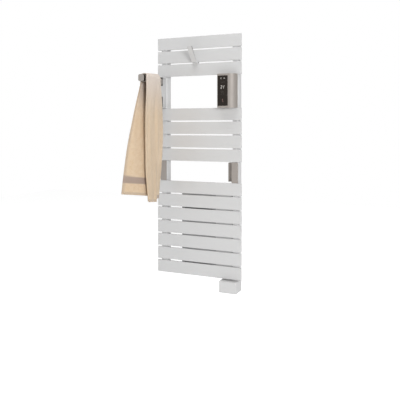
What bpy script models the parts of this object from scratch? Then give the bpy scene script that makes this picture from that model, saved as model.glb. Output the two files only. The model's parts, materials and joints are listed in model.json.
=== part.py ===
"""Wall-hung electric towel radiator with flat slats, a fan heater, a swivel towel bar and a touch control.

Frame: +X right, +Y into the wall, +Z up. The wall is the plane Y = 0 and the origin is the middle of the
back face of the wall rail. All sizes are in metres.
"""
import math

import bmesh
import bpy
from mathutils import Matrix, Vector

# ---- driving dimensions ------------------------------------------------------------------------------------
GAP = 0.0003              # clearance between touching pieces
CUT = 0.010               # how far a cutter reaches past the face it opens
WIDTH = 0.550             # slat length
SLAT_H = 0.0738
SLAT_GAP = 0.0082
SLAT_T = 0.0097
SLAT_WALL = 0.0018
SLAT_EDGE = 0.0016
GROUPS = (3, 4, 7)        # slats in each group, from the top
WINDOWS = (0.1963, 0.1236)  # free height under the first and the second group
FRONT = -0.106            # front plane of the slats
MAST_OVERHANG = 0.022     # slat end past the mast
MAST_W = 0.036
MAST_FRONT = FRONT + SLAT_T + GAP
MAST_BACK = -0.040
MAST_Y = (MAST_FRONT + MAST_BACK) / 2
MAST_WALL = 0.0025
MAST_END = 0.004          # thickness of a mast's end wall
MAST_EDGE = 0.003
PORT_R = 0.007            # water port between a mast and a slat
PITCH = SLAT_H + SLAT_GAP

MAST_X = WIDTH / 2 - MAST_OVERHANG - MAST_W / 2
MAST_SIDES = (("left", -MAST_X), ("right", MAST_X))
TOP = PITCH + SLAT_H / 2  # the second slat is centred on the origin's height


def slat_centres():
    """Heights of the slat centres, from the top, and the free height under each group but the last."""
    heights = []
    windows = []
    edge = TOP
    for index, count in enumerate(GROUPS):
        for _ in range(count):
            heights.append(edge - SLAT_H / 2)
            edge -= PITCH
        edge += SLAT_GAP
        if index < len(WINDOWS):
            windows.append((edge - WINDOWS[index], edge))
            edge -= WINDOWS[index]
    return heights, windows, edge


SLAT_Z, WINDOW_Z, FIELD_BOTTOM = slat_centres()
MAST_TOP = TOP - 0.002
FILLER_R = 0.0062
NECK_R = 0.0092           # threaded necks of the heater and the drain plug
ELEMENT_R = 0.006
ELEMENT_LENGTH = 0.560

# connection box under the right mast
BOX_X = (0.146, 0.253)
BOX_Y = (-0.134, MAST_BACK)
BOX_TOP = FIELD_BOTTOM - SLAT_GAP
BOX_BOTTOM = BOX_TOP - 0.067
BOX_WALL = 0.0025
BOX_EDGE = 0.004
BOX_BASE_T = 0.003
RIGHT_MAST_BOTTOM = BOX_TOP + GAP
LEFT_MAST_BOTTOM = FIELD_BOTTOM - 0.001
GLAND_X = BOX_X[0] + 0.030
GLAND_Z = BOX_BOTTOM + 0.022
GLAND_NECK_R = 0.0060
CABLE_R = 0.0035
TERMINAL_PITCH = 0.014

# fan heater behind the lowest group
BLOWER_X = (-0.1131, 0.2125)
BLOWER_SPLIT = 0.110      # right edge of the air compartment
BLOWER_Y = (-0.0915, -0.010)
BLOWER_FRONT = -0.0945
BLOWER_Z = (-1.315, -0.775)
BLOWER_WALL = 0.0025
LOUVRE_X = 0.095
LOUVRE_H = 0.007
LOUVRE_PITCH = 0.013
ROTOR_Y = -0.046
ROTOR_Z = -1.120
ROTOR_R = 0.024
ROTOR_X = (-0.100, 0.100)
ROTOR_BLADES = 14
DISC_T = 0.003
BLADE_R = (0.0165, 0.0228)
BLADE_T = 0.0012
BLADE_LEAN = 0.6          # radians off the radius
SHAFT_R = 0.0035
SHAFT_X = (-0.103, 0.142)
MOTOR_LENGTH = 0.032
CELL_PITCH = 0.0156
CELL_W = 0.0110
BOARD_T = 0.0016
FILTER_X = 0.092
FILTER_Y = (-0.0795, -0.0750)
FILTER_Z = (-0.985, -0.766)

# touch control in the upper window
CONTROL_X = (0.1415, 0.253)
CONTROL_FRONT = FRONT - 0.045
CONTROL_BACK = FRONT - 0.001
CONTROL_H = 0.1985
CONTROL_R = 0.044
CONTROL_CORNER = 0.003
CONTROL_WALL = 0.0025
CONTROL_SCREW_Z = 0.070   # above and below the middle
SMALL_SCREW_R = 0.0020
GLASS_X = (0.1442, 0.2082)
GLASS_H = 0.177
GLASS_T = 0.003

# swivel arm on the left mast
PIVOT = Vector((-0.231, FRONT - 0.045, 0.0))
ARM_REST_ANGLE = 8.0      # degrees from straight out, towards +X
ARM_LENGTH = 0.320
BAR_W = 0.032
BAR_Z = (-0.1729, -0.1339)
BAR_EDGE = 0.009
BAR_WALL = 0.002
COLLAR_LENGTH = 0.026
COLLAR_INSET = 0.001      # the collar is set back from the bar's face
CAP_T = 0.008
PLUG_GRIP = 0.016         # length of the cap's plug inside the bar
PLUG_HALF = 0.0107
PLUG_Z = (BAR_Z[0] + 0.007, BAR_Z[1] - 0.007)
PIN_R = 0.005
PIN_BORE_R = PIN_R + GAP
HUB_R = 0.012
LUG_T = 0.005
HINGE_X = (-0.2505, -0.2195)
HINGE_INSET = 0.002       # free height above and below the bracket
SLEEVE_H = 0.064
WASHER_T = 0.002

# towel over the bar: along the bar (S) and to either side of it (T).
# A foot has an inner and an outer side at its far end, then the same at its near end.
TOWEL_S = (0.070, 0.285)
TOWEL_SIDE = 0.0175
TOWEL_OUTER = 0.0330
TOWEL_TOP = BAR_Z[1] + 0.0160
SLAT_FOOT_Z = -0.862
SLAT_FOOT_S = (0.058, 0.266)
SLAT_FOOT_T = ((0.0100, 0.0320), (0.0100, 0.0320))
FREE_FOOT_Z = -0.803
FREE_FOOT_S = (0.065, 0.380)
FREE_FOOT_T = ((0.0040, 0.0260), (0.0560, 0.1000))

# bar receivers in the lower window
RECEIVER_H = 0.122
RECEIVER_T = 0.003
RECEIVER_SIDE_H = 0.112
RECEIVER_SIDE_W = 0.036
RECEIVER_Y = (-0.073, -0.046)

# coat hook in the second slat gap
HOOK_X = -0.0175
HOOK_W = 0.030
HOOK_T = 0.0045
HOOK_Z = SLAT_Z[1] - PITCH / 2
HOOK_KNEE_R = 0.010
HOOK_BEND = 219           # the knee runs from 270 degrees to this
HOOK_RISE = 0.104         # length of the straight part

# fixing to the wall
RAIL_LENGTH = 0.464
RAIL_H = 0.050
RAIL_T = 0.012
RAIL_GROOVE = 0.009
RAIL_HOLE_X = (0.075, 0.150)
WALL_SCREW_R = 0.0026
BRACKET_X = 0.227
BRACKET_W = 0.020
BRACKET_H = 0.044
STANDOFF_X = 0.2265
STANDOFF_Z = SLAT_Z[12]
STANDOFF_R = (0.0065, 0.0090, 0.0105)  # neck, collar and foot

WHITE = ("white_paint", (0.66, 0.66, 0.65), 0.35, 0.0)
TAUPE = ("taupe_paint", (0.38, 0.35, 0.32), 0.40, 0.2)
BLACK_GLASS = ("black_glass", (0.02, 0.017, 0.015), 0.08, 0.0)
DARK_PLASTIC = ("dark_plastic", (0.06, 0.055, 0.05), 0.55, 0.0)
GREY_PLASTIC = ("grey_plastic", (0.20, 0.20, 0.21), 0.55, 0.0)
STEEL = ("steel", (0.60, 0.60, 0.60), 0.35, 1.0)
ALUMINIUM = ("aluminium", (0.70, 0.70, 0.71), 0.35, 1.0)
BOARD = ("circuit_board", (0.02, 0.16, 0.07), 0.5, 0.0)
FILTER_CLOTH = ("filter_plastic", (0.12, 0.12, 0.13), 0.8, 0.0)
TOWEL_CLOTH = ("towel_cloth", (0.66, 0.52, 0.38), 0.95, 0.0)


# ---- shared tools ------------------------------------------------------------------------------------------
for leftover in list(bpy.data.objects):
    bpy.data.objects.remove(leftover, do_unlink=True)

PARTS = bpy.data.collections.new("towel_radiator")
CUTTERS = bpy.data.collections.new("cutters")
bpy.context.scene.collection.children.link(PARTS)
bpy.context.scene.collection.children.link(CUTTERS)


def finish_of(look):
    name, colour, roughness, metallic = look
    found = bpy.data.materials.get(name)
    if found:
        return found
    made = bpy.data.materials.new(name)
    made.use_nodes = True
    shader = made.node_tree.nodes["Principled BSDF"]
    shader.inputs["Base Color"].default_value = (*colour, 1.0)
    shader.inputs["Roughness"].default_value = roughness
    shader.inputs["Metallic"].default_value = metallic
    return made


def place(name, mesh, look, parent=None):
    """A part of the radiator."""
    obj = bpy.data.objects.new(name, mesh)
    if look:
        mesh.materials.append(finish_of(look))
        PARTS.objects.link(obj)
    else:
        obj.hide_render = True
        obj.display_type = "WIRE"
        CUTTERS.objects.link(obj)
    obj.parent = parent
    return obj


def mesh_of(name, bm):
    bmesh.ops.recalc_face_normals(bm, faces=bm.faces)
    mesh = bpy.data.meshes.new(name)
    bm.to_mesh(mesh)
    bm.free()
    return mesh


def add_box(bm, low, high):
    low = Vector(low)
    high = Vector(high)
    size = high - low
    move = Matrix.Translation((low + high) / 2) @ Matrix.Diagonal((*size, 1.0))
    return bmesh.ops.create_cube(bm, size=1.0, matrix=move)["verts"]


AXIS_TURN = {
    "X": Matrix.Rotation(math.pi / 2, 4, "Y"),
    "Y": Matrix.Rotation(-math.pi / 2, 4, "X"),
    "Z": Matrix.Identity(4),
}


def add_rod(bm, centre, axis, radius, length, sides=12):
    move = Matrix.Translation(centre) @ AXIS_TURN[axis]
    bmesh.ops.create_cone(
        bm, cap_ends=True, segments=sides, radius1=radius, radius2=radius, depth=length, matrix=move
    )


def boxes(name, spans, look=None, parent=None):
    """One object holding one box for each (low, high) pair."""
    bm = bmesh.new()
    for low, high in spans:
        add_box(bm, low, high)
    return place(name, mesh_of(name, bm), look, parent)


def rods(name, places, axis, radius, length, look=None, parent=None, sides=12):
    """One object holding one rod, along one axis, for each place."""
    bm = bmesh.new()
    for centre in places:
        add_rod(bm, Vector(centre), axis, radius, length, sides)
    return place(name, mesh_of(name, bm), look, parent)


def round_edges(obj, width, segments=2):
    bevel = obj.modifiers.new("round_edges", "BEVEL")
    bevel.width = width
    bevel.segments = segments
    bevel.limit_method = "ANGLE"
    bevel.angle_limit = math.radians(40)
    return obj


def boolean(obj, other, operation="DIFFERENCE"):
    modifier = obj.modifiers.new(other.name, "BOOLEAN")
    modifier.operation = operation
    modifier.object = other
    modifier.solver = "EXACT"
    return obj


def smooth(obj, angle=35.0):
    obj.data.shade_smooth()
    obj.data.set_sharp_from_angle(angle=math.radians(angle))
    return obj


def turned(name, profile, centre, axis, look=None, parent=None, steps=20, ring=False):
    """A lathe shape from (radius, height) points down its outer side; a ring is closed along its bore."""
    bm = bmesh.new()
    points = [bm.verts.new((radius, 0.0, height)) for radius, height in profile]
    for start, end in zip(points, points[1:]):
        bm.edges.new((start, end))
    if ring:
        bm.edges.new((points[-1], points[0]))
    mesh = bpy.data.meshes.new(name)
    bm.to_mesh(mesh)
    bm.free()
    obj = place(name, mesh, look, parent)
    obj.matrix_local = Matrix.Translation(centre) @ AXIS_TURN[axis]
    screw = obj.modifiers.new("turn", "SCREW")
    screw.axis = "Z"
    screw.steps = steps
    screw.render_steps = steps
    screw.use_smooth_shade = True
    screw.use_merge_vertices = True
    screw.merge_threshold = 0.00001
    return obj


def outline(name, points, half_depth, look=None, parent=None, matrix=None):
    """A flat outline in its local XY plane, as thick as twice half_depth along local Z, as a mesh."""
    curve = bpy.data.curves.new(name + "_outline", "CURVE")
    curve.dimensions = "2D"
    curve.fill_mode = "BOTH"
    curve.extrude = half_depth
    spline = curve.splines.new("POLY")
    spline.points.add(len(points) - 1)
    for point, (x, y) in zip(spline.points, points):
        point.co = (x, y, 0.0, 1.0)
    spline.use_cyclic_u = True
    source = bpy.data.objects.new(name + "_outline", curve)
    CUTTERS.objects.link(source)
    if matrix is not None:
        source.matrix_world = matrix
    bpy.context.view_layer.update()
    graph = bpy.context.evaluated_depsgraph_get()
    mesh = bpy.data.meshes.new_from_object(source.evaluated_get(graph))
    bm = bmesh.new()
    bm.from_mesh(mesh)
    bmesh.ops.remove_doubles(bm, verts=bm.verts, dist=0.00001)
    bmesh.ops.recalc_face_normals(bm, faces=bm.faces)
    bm.to_mesh(mesh)
    bm.free()
    mesh.name = name
    obj = place(name, mesh, look, parent)
    obj.matrix_local = source.matrix_world.copy()
    bpy.data.objects.remove(source)
    return obj


def arc(centre, radius, start, end, steps):
    """Points on an arc, angles in degrees."""
    found = []
    for step in range(steps + 1):
        angle = math.radians(start + (end - start) * step / steps)
        found.append((centre[0] + radius * math.cos(angle), centre[1] + radius * math.sin(angle)))
    return found


def rounded_rectangle(low, high, radius, steps=2):
    corners = (
        ((high[0] - radius, high[1] - radius), 0),
        ((low[0] + radius, high[1] - radius), 90),
        ((low[0] + radius, low[1] + radius), 180),
        ((high[0] - radius, low[1] + radius), 270),
    )
    points = []
    for centre, start in corners:
        points += arc(centre, radius, start, start + 90, steps)
    return points


# ---- water side: slats and masts ---------------------------------------------------------------------------
def make_slat(index, height):
    """A flat steel tube with a water port towards each mast."""
    name = f"slat_{index:02d}"
    half = SLAT_H / 2
    back = FRONT + SLAT_T
    slat = boxes(name, [((-WIDTH / 2, FRONT, height - half), (WIDTH / 2, back, height + half))], WHITE)
    round_edges(slat, SLAT_EDGE)
    inner = (
        (-WIDTH / 2 + SLAT_WALL, FRONT + SLAT_WALL, height - half + SLAT_WALL),
        (WIDTH / 2 - SLAT_WALL, back - SLAT_WALL, height + half - SLAT_WALL),
    )
    boolean(slat, boxes(name + "_channel", [inner]))
    ports = [(x, back, height) for _, x in MAST_SIDES]
    boolean(slat, rods(name + "_ports", ports, "Y", PORT_R, SLAT_T, sides=8))
    return smooth(slat)


def make_mast(side, x):
    """A square tube behind the slats, with a port for each slat and one open, threaded end."""
    bottom = RIGHT_MAST_BOTTOM if side == "right" else LEFT_MAST_BOTTOM
    name = "mast_" + side
    half = MAST_W / 2
    mast = boxes(name, [((x - half, MAST_FRONT, bottom), (x + half, MAST_BACK, MAST_TOP))], WHITE)
    round_edges(mast, MAST_EDGE)
    wall = MAST_WALL
    inner = (
        (x - half + wall, MAST_FRONT + wall, bottom + MAST_END),
        (x + half - wall, MAST_BACK - wall, MAST_TOP - MAST_END),
    )
    boolean(mast, boxes(name + "_channel", [inner]))
    ports = [(x, MAST_FRONT, height) for height in SLAT_Z]
    boolean(mast, rods(name + "_ports", ports, "Y", PORT_R, 4 * wall, sides=8))
    through = 5 * MAST_END
    hole_r = NECK_R + GAP
    boolean(mast, rods(name + "_bottom_hole", [(x, MAST_Y, bottom)], "Z", hole_r, through, sides=16))
    if side == "right":
        hole_r = FILLER_R + GAP
        boolean(mast, rods(name + "_top_hole", [(x, MAST_Y, MAST_TOP)], "Z", hole_r, through, sides=16))
    return smooth(mast)


def make_plugs():
    """The filling plug on top of the right mast and the drain plug under the left one."""
    filler = [(0.0, 0.0058), (0.0095, 0.0058), (0.0105, 0.0048), (0.0105, GAP)]
    filler += [(FILLER_R, GAP), (FILLER_R, -0.007), (0.0, -0.007)]
    turned("filler_plug", filler, (MAST_X, MAST_Y, MAST_TOP), "Z", WHITE, steps=18)
    drain = [(0.0, 0.008), (NECK_R, 0.008), (NECK_R, -GAP), (0.0120, -GAP)]
    drain += [(0.0120, -0.0046), (0.0108, -0.0056), (0.0, -0.0056)]
    turned("drain_plug", drain, (-MAST_X, MAST_Y, LEFT_MAST_BOTTOM), "Z", WHITE, steps=18)


def make_heating_element():
    """Immersion heater: head under the box roof, neck through roof and mast, rod up the mast."""
    shoulder = -BOX_WALL - 2 * GAP
    profile = [
        (0.0, ELEMENT_LENGTH),
        (ELEMENT_R - 0.002, ELEMENT_LENGTH),
        (ELEMENT_R, ELEMENT_LENGTH - 0.004),
        (ELEMENT_R, 0.012),
        (NECK_R, 0.012),
        (NECK_R, shoulder),
        (0.0140, shoulder),
        (0.0140, -0.0170),
        (0.0, -0.0170),
    ]
    turned("heating_element", profile, (MAST_X, MAST_Y, RIGHT_MAST_BOTTOM), "Z", STEEL, steps=16)


# ---- connection box ----------------------------------------------------------------------------------------
def make_box_shell():
    """The cover, open at the back, and the base plate that closes it."""
    x0, x1 = BOX_X
    y0, y1 = BOX_Y
    z0, z1 = BOX_BOTTOM, BOX_TOP
    wall = BOX_WALL
    cover = boxes("connection_box_cover", [((x0, y0, z0), (x1, y1, z1))], WHITE)
    round_edges(cover, BOX_EDGE, 3)
    hollow = ((x0 + wall, y0 + wall, z0 + wall), (x1 - wall, y1 + CUT, z1 - wall))
    boolean(cover, boxes("box_hollow", [hollow]))
    neck = [(MAST_X, MAST_Y, z1)]
    boolean(cover, rods("box_neck_hole", neck, "Z", NECK_R + GAP, CUT, sides=16))
    smooth(cover)
    inset = wall + GAP
    span = ((x0 + inset, y1 - BOX_BASE_T, z0 + inset), (x1 - inset, y1, z1 - inset))
    plate = boxes("connection_box_base", [span], GREY_PLASTIC)
    boolean(plate, rods("gland_hole", [(GLAND_X, y1, GLAND_Z)], "Y", GLAND_NECK_R + GAP, 2 * CUT, sides=16))


def make_box_fittings():
    """The cable gland, the terminal block and the safety thermostat."""
    x0 = BOX_X[0]
    back = BOX_Y[1]
    gland = [(0.0, 0.016), (0.0068, 0.016), (0.0095, 0.010), (0.0095, GAP)]
    gland += [(GLAND_NECK_R, GAP), (GLAND_NECK_R, -0.010), (0.0, -0.010)]
    body = turned("cable_gland", gland, (GLAND_X, back, GLAND_Z), "Y", DARK_PLASTIC, steps=16)
    boolean(body, rods("gland_bore", [(GLAND_X, back, GLAND_Z)], "Y", CABLE_R, 6 * CUT, sides=12))
    left = x0 + 0.014
    low = (left, back - 0.028, BOX_TOP - 0.028)
    high = (left + 3 * TERMINAL_PITCH + 0.002, back - 0.0133, BOX_TOP - 0.012)
    block = boxes("terminal_block", [(low, high)], GREY_PLASTIC)
    wells = [(left + 0.008 + TERMINAL_PITCH * step, low[1], BOX_TOP - 0.020) for step in range(3)]
    boolean(block, rods("terminal_wells", wells, "Y", 0.0028, TERMINAL_PITCH, sides=8))
    disc = [(0.0, 0.006), (0.0085, 0.006), (0.0085, -0.003)]
    disc += [(0.0060, -0.003), (0.0060, -0.006), (0.0, -0.006)]
    centre = (x0 + 0.062, back - 0.030, BOX_BOTTOM + 0.026)
    turned("safety_thermostat", disc, centre, "Y", STEEL, steps=16)


# ---- fan heater --------------------------------------------------------------------------------------------
def slot_rows(side, depth, bottom, top):
    """Boxes of equal louvre slots between two heights."""
    spans = []
    count = int((top - bottom - LOUVRE_H) / LOUVRE_PITCH) + 1
    for row in range(count):
        low = bottom + row * LOUVRE_PITCH
        spans.append(((-side, depth[0], low), (side, depth[1], low + LOUVRE_H)))
    return spans


def make_blower_housing():
    """The back shell, with an air room on the left and a room for motor and electronics on the right."""
    wall = BLOWER_WALL
    x0, x1 = BLOWER_X
    y0, y1 = BLOWER_Y
    z0, z1 = BLOWER_Z
    housing = boxes("blower_housing", [((x0, y0, z0), (x1, y1, z1))], WHITE)
    round_edges(housing, 0.002, 1)
    rooms = [
        ((x0 + wall, y0 - CUT, z0 + wall), (BLOWER_SPLIT - wall, y1 - wall, z1 - wall)),
        ((BLOWER_SPLIT, y0 - CUT, z0 + wall), (x1 - wall, y1 - wall, z1 - wall)),
    ]
    boolean(housing, boxes("blower_rooms", rooms))
    play = 0.001
    low = (-FILTER_X - play, FILTER_Y[0] - play, z1 - CUT)
    high = (FILTER_X + play, FILTER_Y[1] + play, z1 + CUT)
    boolean(housing, boxes("filter_slot", [(low, high)]))
    shaft = [(BLOWER_SPLIT, ROTOR_Y, ROTOR_Z)]
    boolean(housing, rods("shaft_hole", shaft, "X", SHAFT_R + 0.0025, 2 * CUT, sides=12))
    smooth(housing)


def make_blower_front():
    """The louvred front of the air room and the closed front of the electronics room."""
    front = BLOWER_FRONT
    back = BLOWER_Y[0] - GAP
    z0, z1 = BLOWER_Z
    split = BLOWER_SPLIT
    grille = boxes("outlet_grille", [((BLOWER_X[0], front, z0), (split - GAP, back, z1))], GREY_PLASTIC)
    reach = (front - CUT, back + CUT)
    side = LOUVRE_X
    slots = slot_rows(side, reach, z0 + 0.020, z0 + 0.110)
    slots += slot_rows(side, reach, z1 - 0.190, z1 - 0.020)
    boolean(grille, boxes("louvres", slots))
    cover = boxes("electronics_cover", [((split, front, z0), (BLOWER_X[1], back, z1))], WHITE)
    round_edges(cover, 0.001, 1)


def make_rotor():
    """Tangential fan wheel on its shaft, with its origin on the axis."""
    hub = bpy.data.objects.new("rotor_axis", None)
    hub.location = (0.0, ROTOR_Y, ROTOR_Z)
    PARTS.objects.link(hub)
    x0, x1 = ROTOR_X
    inset = DISC_T / 2
    discs = [(x0 + inset, 0.0, 0.0), (0.0, 0.0, 0.0), (x1 - inset, 0.0, 0.0)]
    wheel = rods("fan_rotor", discs, "X", ROTOR_R, DISC_T, DARK_PLASTIC, hub, sides=20)
    bm = bmesh.new()
    middle = Matrix.Translation((0.0, 0.0, (BLADE_R[0] + BLADE_R[1]) / 2))
    lean = middle @ Matrix.Rotation(BLADE_LEAN, 4, "X") @ middle.inverted()
    half = BLADE_T / 2
    for blade in range(ROTOR_BLADES):
        turn = Matrix.Rotation(2 * math.pi * blade / ROTOR_BLADES, 4, "X")
        verts = add_box(bm, (x0 + 2 * half, -half, BLADE_R[0]), (x1 - 2 * half, half, BLADE_R[1]))
        bmesh.ops.transform(bm, matrix=turn @ lean, verts=verts)
    boolean(wheel, place("fan_blades", mesh_of("fan_blades", bm), None, hub), "UNION")
    start, end = SHAFT_X
    centre = [((start + end) / 2, 0.0, 0.0)]
    boolean(wheel, rods("fan_shaft", centre, "X", SHAFT_R, end - start, None, hub), "UNION")
    return smooth(wheel)


def make_motor():
    bore = SHAFT_R + 0.0007
    motor = [
        (bore, 0.0),
        (0.0190, 0.0),
        (0.0210, -0.002),
        (0.0210, 0.002 - MOTOR_LENGTH),
        (0.0190, -MOTOR_LENGTH),
        (bore, -MOTOR_LENGTH),
    ]
    right = BLOWER_SPLIT + 0.0005 + MOTOR_LENGTH
    turned("fan_motor", motor, (right, ROTOR_Y, ROTOR_Z), "X", ALUMINIUM, steps=20, ring=True)


def make_cassette():
    """The ceramic heater in the air outlet: a frame with a row of open cells."""
    front = FILTER_Y[0] - 0.001
    back = -0.058
    low = BLOWER_Z[0] + 0.016
    high = BLOWER_Z[0] + 0.112
    side = 0.096
    rim = 0.008
    heater = boxes("fan_heating_cassette", [((-side, front, low), (side, back, high))], ALUMINIUM)
    cells = []
    for column in range(12):
        left = -side + 0.0045 + column * CELL_PITCH
        cells.append(((left, front - CUT, low + rim), (left + CELL_W, back + CUT, high - rim)))
    boolean(heater, boxes("heater_cells", cells))


def make_power_board():
    """The board on the casing's back wall, with two tall parts and a row of connectors."""
    face = BLOWER_Y[1] - BLOWER_WALL - 0.006
    board = boxes("power_board", [((0.122, face - BOARD_T, -1.020), (0.200, face, -0.860))], BOARD)
    root = face - BOARD_T + 0.0006
    parts = [
        ((0.130, face - 0.026, -0.905), (0.158, root, -0.872)),
        ((0.166, face - 0.018, -0.912), (0.192, root, -0.880)),
        ((0.130, face - 0.014, -1.008), (0.190, root, -0.990)),
    ]
    boolean(board, boxes("power_board_parts", parts), "UNION")


def make_filter():
    """Washable filter that pulls up out of the casing: a frame with three fields before a thin screen."""
    x = FILTER_X - GAP
    y0, y1 = FILTER_Y
    z0, z1 = FILTER_Z
    rim = 0.008
    top = z1 - rim
    frame = boxes("air_filter", [((-x, y0, z0), (x, y1, top))], FILTER_CLOTH)
    tab = boxes("filter_tab", [((-0.030, y0, top - rim / 2), (0.030, y1, z1))])
    boolean(frame, tab, "UNION")
    width = (2 * x - 4 * rim) / 3
    fields = []
    for column in range(3):
        left = -x + rim + column * (width + rim)
        fields.append(((left, y0 - CUT, z0 + rim), (left + width, y0 + 0.003, top - 0.010)))
    boolean(frame, boxes("filter_fields", fields))


# ---- touch control -----------------------------------------------------------------------------------------
def control_profile(inset):
    """Plan outline of the control case, flat in front and rounded back to the mast on the right."""
    left = CONTROL_X[0] + inset
    front = CONTROL_FRONT + inset
    centre = (CONTROL_X[1] - CONTROL_R, CONTROL_BACK)
    back = CONTROL_BACK + (CUT if inset else 0.0)
    radius = CONTROL_R - inset
    corner = CONTROL_CORNER
    points = [(left, back)]
    points += arc((left + corner, front + corner), corner, 180, 270, 2)
    points += arc(centre, radius, 270, 360, 10)
    if inset:
        points.append((centre[0] + radius, back))
    return points


def make_control_case(middle):
    """The taupe case and the black glass let into its front."""
    stand = Matrix.Translation((0.0, 0.0, middle))
    case = outline("control_case", control_profile(0.0), CONTROL_H / 2, TAUPE, matrix=stand)
    round_edges(case, 0.0012, 1)
    wall = CONTROL_WALL
    boolean(case, outline("control_hollow", control_profile(wall), CONTROL_H / 2 - wall, matrix=stand))
    half = GLASS_H / 2
    low = (GLASS_X[0], CONTROL_FRONT - CUT, middle - half)
    high = (GLASS_X[1], CONTROL_FRONT + CUT, middle + half)
    boolean(case, boxes("glass_window", [(low, high)]))
    smooth(case)
    front = CONTROL_FRONT - GAP
    low = (GLASS_X[0] + GAP, front, middle - half + GAP)
    high = (GLASS_X[1] - GAP, front + GLASS_T, middle + half - GAP)
    round_edges(boxes("control_glass", [(low, high)], BLACK_GLASS), 0.0006, 1)


def make_control_board(middle):
    """The display board behind the glass, with its digits and its row of touch keys."""
    back = CONTROL_FRONT + GLASS_T
    left, right = GLASS_X
    face = back + 0.004
    reach = GLASS_H / 2 - 0.004
    span = ((left + 0.002, face, middle - reach), (right - 0.002, face + BOARD_T, middle + reach))
    board = boxes("display_board", [span], BOARD)
    root = face + 0.001
    margin = 0.016
    digits = ((left + margin, back + GAP, middle + 0.030), (right - margin, root, middle + 0.054))
    keys = ((left + margin, back + 0.002, middle - 0.060), (right - margin, root, middle + 0.012))
    boolean(board, boxes("display_parts", [digits, keys]), "UNION")


def make_control_base(middle):
    """The mounting plate between the case and the mast, and its two screws."""
    half = CONTROL_H / 2 - 0.00325
    low = (CONTROL_X[0] + 0.006, CONTROL_BACK + GAP, middle - half)
    high = (CONTROL_X[1] - 0.0025, MAST_FRONT - GAP, middle + half)
    base = boxes("control_base", [(low, high)], TAUPE)
    round_edges(base, 0.002, 1)
    holes = [(MAST_X, FRONT, middle + side * CONTROL_SCREW_Z) for side in (-1, 1)]
    boolean(base, rods("control_screw_holes", holes, "Y", SMALL_SCREW_R + GAP, 4 * CUT, sides=10))
    shank = SMALL_SCREW_R
    screw = [(0.0, 0.0088), (shank, 0.0088), (shank, -GAP), (0.0042, -GAP), (0.0030, -0.0028), (0.0, -0.0028)]
    for number, (x, _, z) in enumerate(holes, 1):
        turned(f"control_screw_{number}", screw, (x, low[1], z), "Y", STEEL, steps=12)


def make_control():
    middle = (WINDOW_Z[0][0] + WINDOW_Z[0][1]) / 2
    make_control_case(middle)
    make_control_board(middle)
    make_control_base(middle)


# ---- swivel arm --------------------------------------------------------------------------------------------
def make_hinge_bracket(bottom, top):
    """A plate on the mast with a lug above and below, bored for the pin."""
    x0, x1 = HINGE_X
    back = MAST_FRONT - GAP
    plate = boxes("hinge_bracket", [((x0, back - 0.0040, bottom), (x1, back, top))], WHITE)
    nose = HUB_R + 0.001
    root = back - 0.0027
    lug = [(x0, root), (x1, root), (PIVOT.x + nose, PIVOT.y)]
    lug += arc((PIVOT.x, PIVOT.y), nose, 0, -180, 8)[1:]
    for end, z in (("lower", bottom + LUG_T / 2), ("upper", top - LUG_T / 2)):
        shape = outline(end + "_lug", lug, LUG_T / 2, matrix=Matrix.Translation((0, 0, z)))
        boolean(plate, shape, "UNION")
    centre = [(PIVOT.x, PIVOT.y, (bottom + top) / 2)]
    boolean(plate, rods("pin_holes", centre, "Z", PIN_BORE_R, 2 * (top - bottom), sides=16))


def make_hinge():
    """Bracket, pin and bearings; returns the free height on the pin between the two bearings."""
    bottom, top = WINDOW_Z[0]
    bottom += HINGE_INSET
    top -= HINGE_INSET
    make_hinge_bracket(bottom, top)
    end = bottom - top - 0.002
    pin = [(0.0, 0.0022), (0.0075, 0.0022), (0.0085, 0.0012), (0.0085, GAP)]
    pin += [(PIN_R, GAP), (PIN_R, end), (0.0, end)]
    turned("hinge_pin", pin, (PIVOT.x, PIVOT.y, top), "Z", STEEL, steps=16)
    sleeve_top = bottom + LUG_T + GAP + SLEEVE_H
    washer_top = top - LUG_T - GAP
    bearings = (("bearing_sleeve", SLEEVE_H, sleeve_top), ("bearing_washer", WASHER_T, washer_top))
    for name, height, z in bearings:
        ring = [(PIN_BORE_R, 0.0), (HUB_R, 0.0), (HUB_R, -height), (PIN_BORE_R, -height)]
        turned(name, ring, (PIVOT.x, PIVOT.y, z), "Z", DARK_PLASTIC, steps=18, ring=True)
    return sleeve_top + GAP, washer_top - WASHER_T - GAP


def make_hub(arm, low, high):
    """The hub that carries the bar, and the plain tube that fills the pin below it."""
    hub_bottom = BAR_Z[0] - 0.004
    bore = PIN_BORE_R
    ring = [(bore, high), (HUB_R, high), (HUB_R, hub_bottom), (bore, hub_bottom)]
    hub = turned("swing_hub", ring, (0, 0, 0), "Z", DARK_PLASTIC, arm, steps=18, ring=True)
    z0, z1 = PLUG_Z
    spigot = boxes("hub_spigot", [((HUB_R - 0.004, -PLUG_HALF, z0), (0.045, PLUG_HALF, z1))], None, arm)
    boolean(hub, spigot, "UNION")
    radius = HUB_R - 0.001
    start = hub_bottom - GAP
    ring = [(bore, start), (radius, start), (radius, low), (bore, low)]
    turned("swing_tube", ring, (0, 0, 0), "Z", WHITE, arm, steps=18, ring=True)


def bar_section(name, span, inset, look, arm):
    """A length of the bar's rounded section along the arm."""
    half = BAR_W / 2 - inset
    radius = BAR_EDGE - inset
    shape = rounded_rectangle((-half, BAR_Z[0] + inset), (half, BAR_Z[1] - inset), radius, 3)
    along = Matrix(((0, 0, 1, 0), (1, 0, 0, 0), (0, 1, 0, 0), (0, 0, 0, 1)))
    move = Matrix.Translation(((span[0] + span[1]) / 2, 0, 0)) @ along
    return outline(name, shape, (span[1] - span[0]) / 2, look, arm, move)


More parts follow.
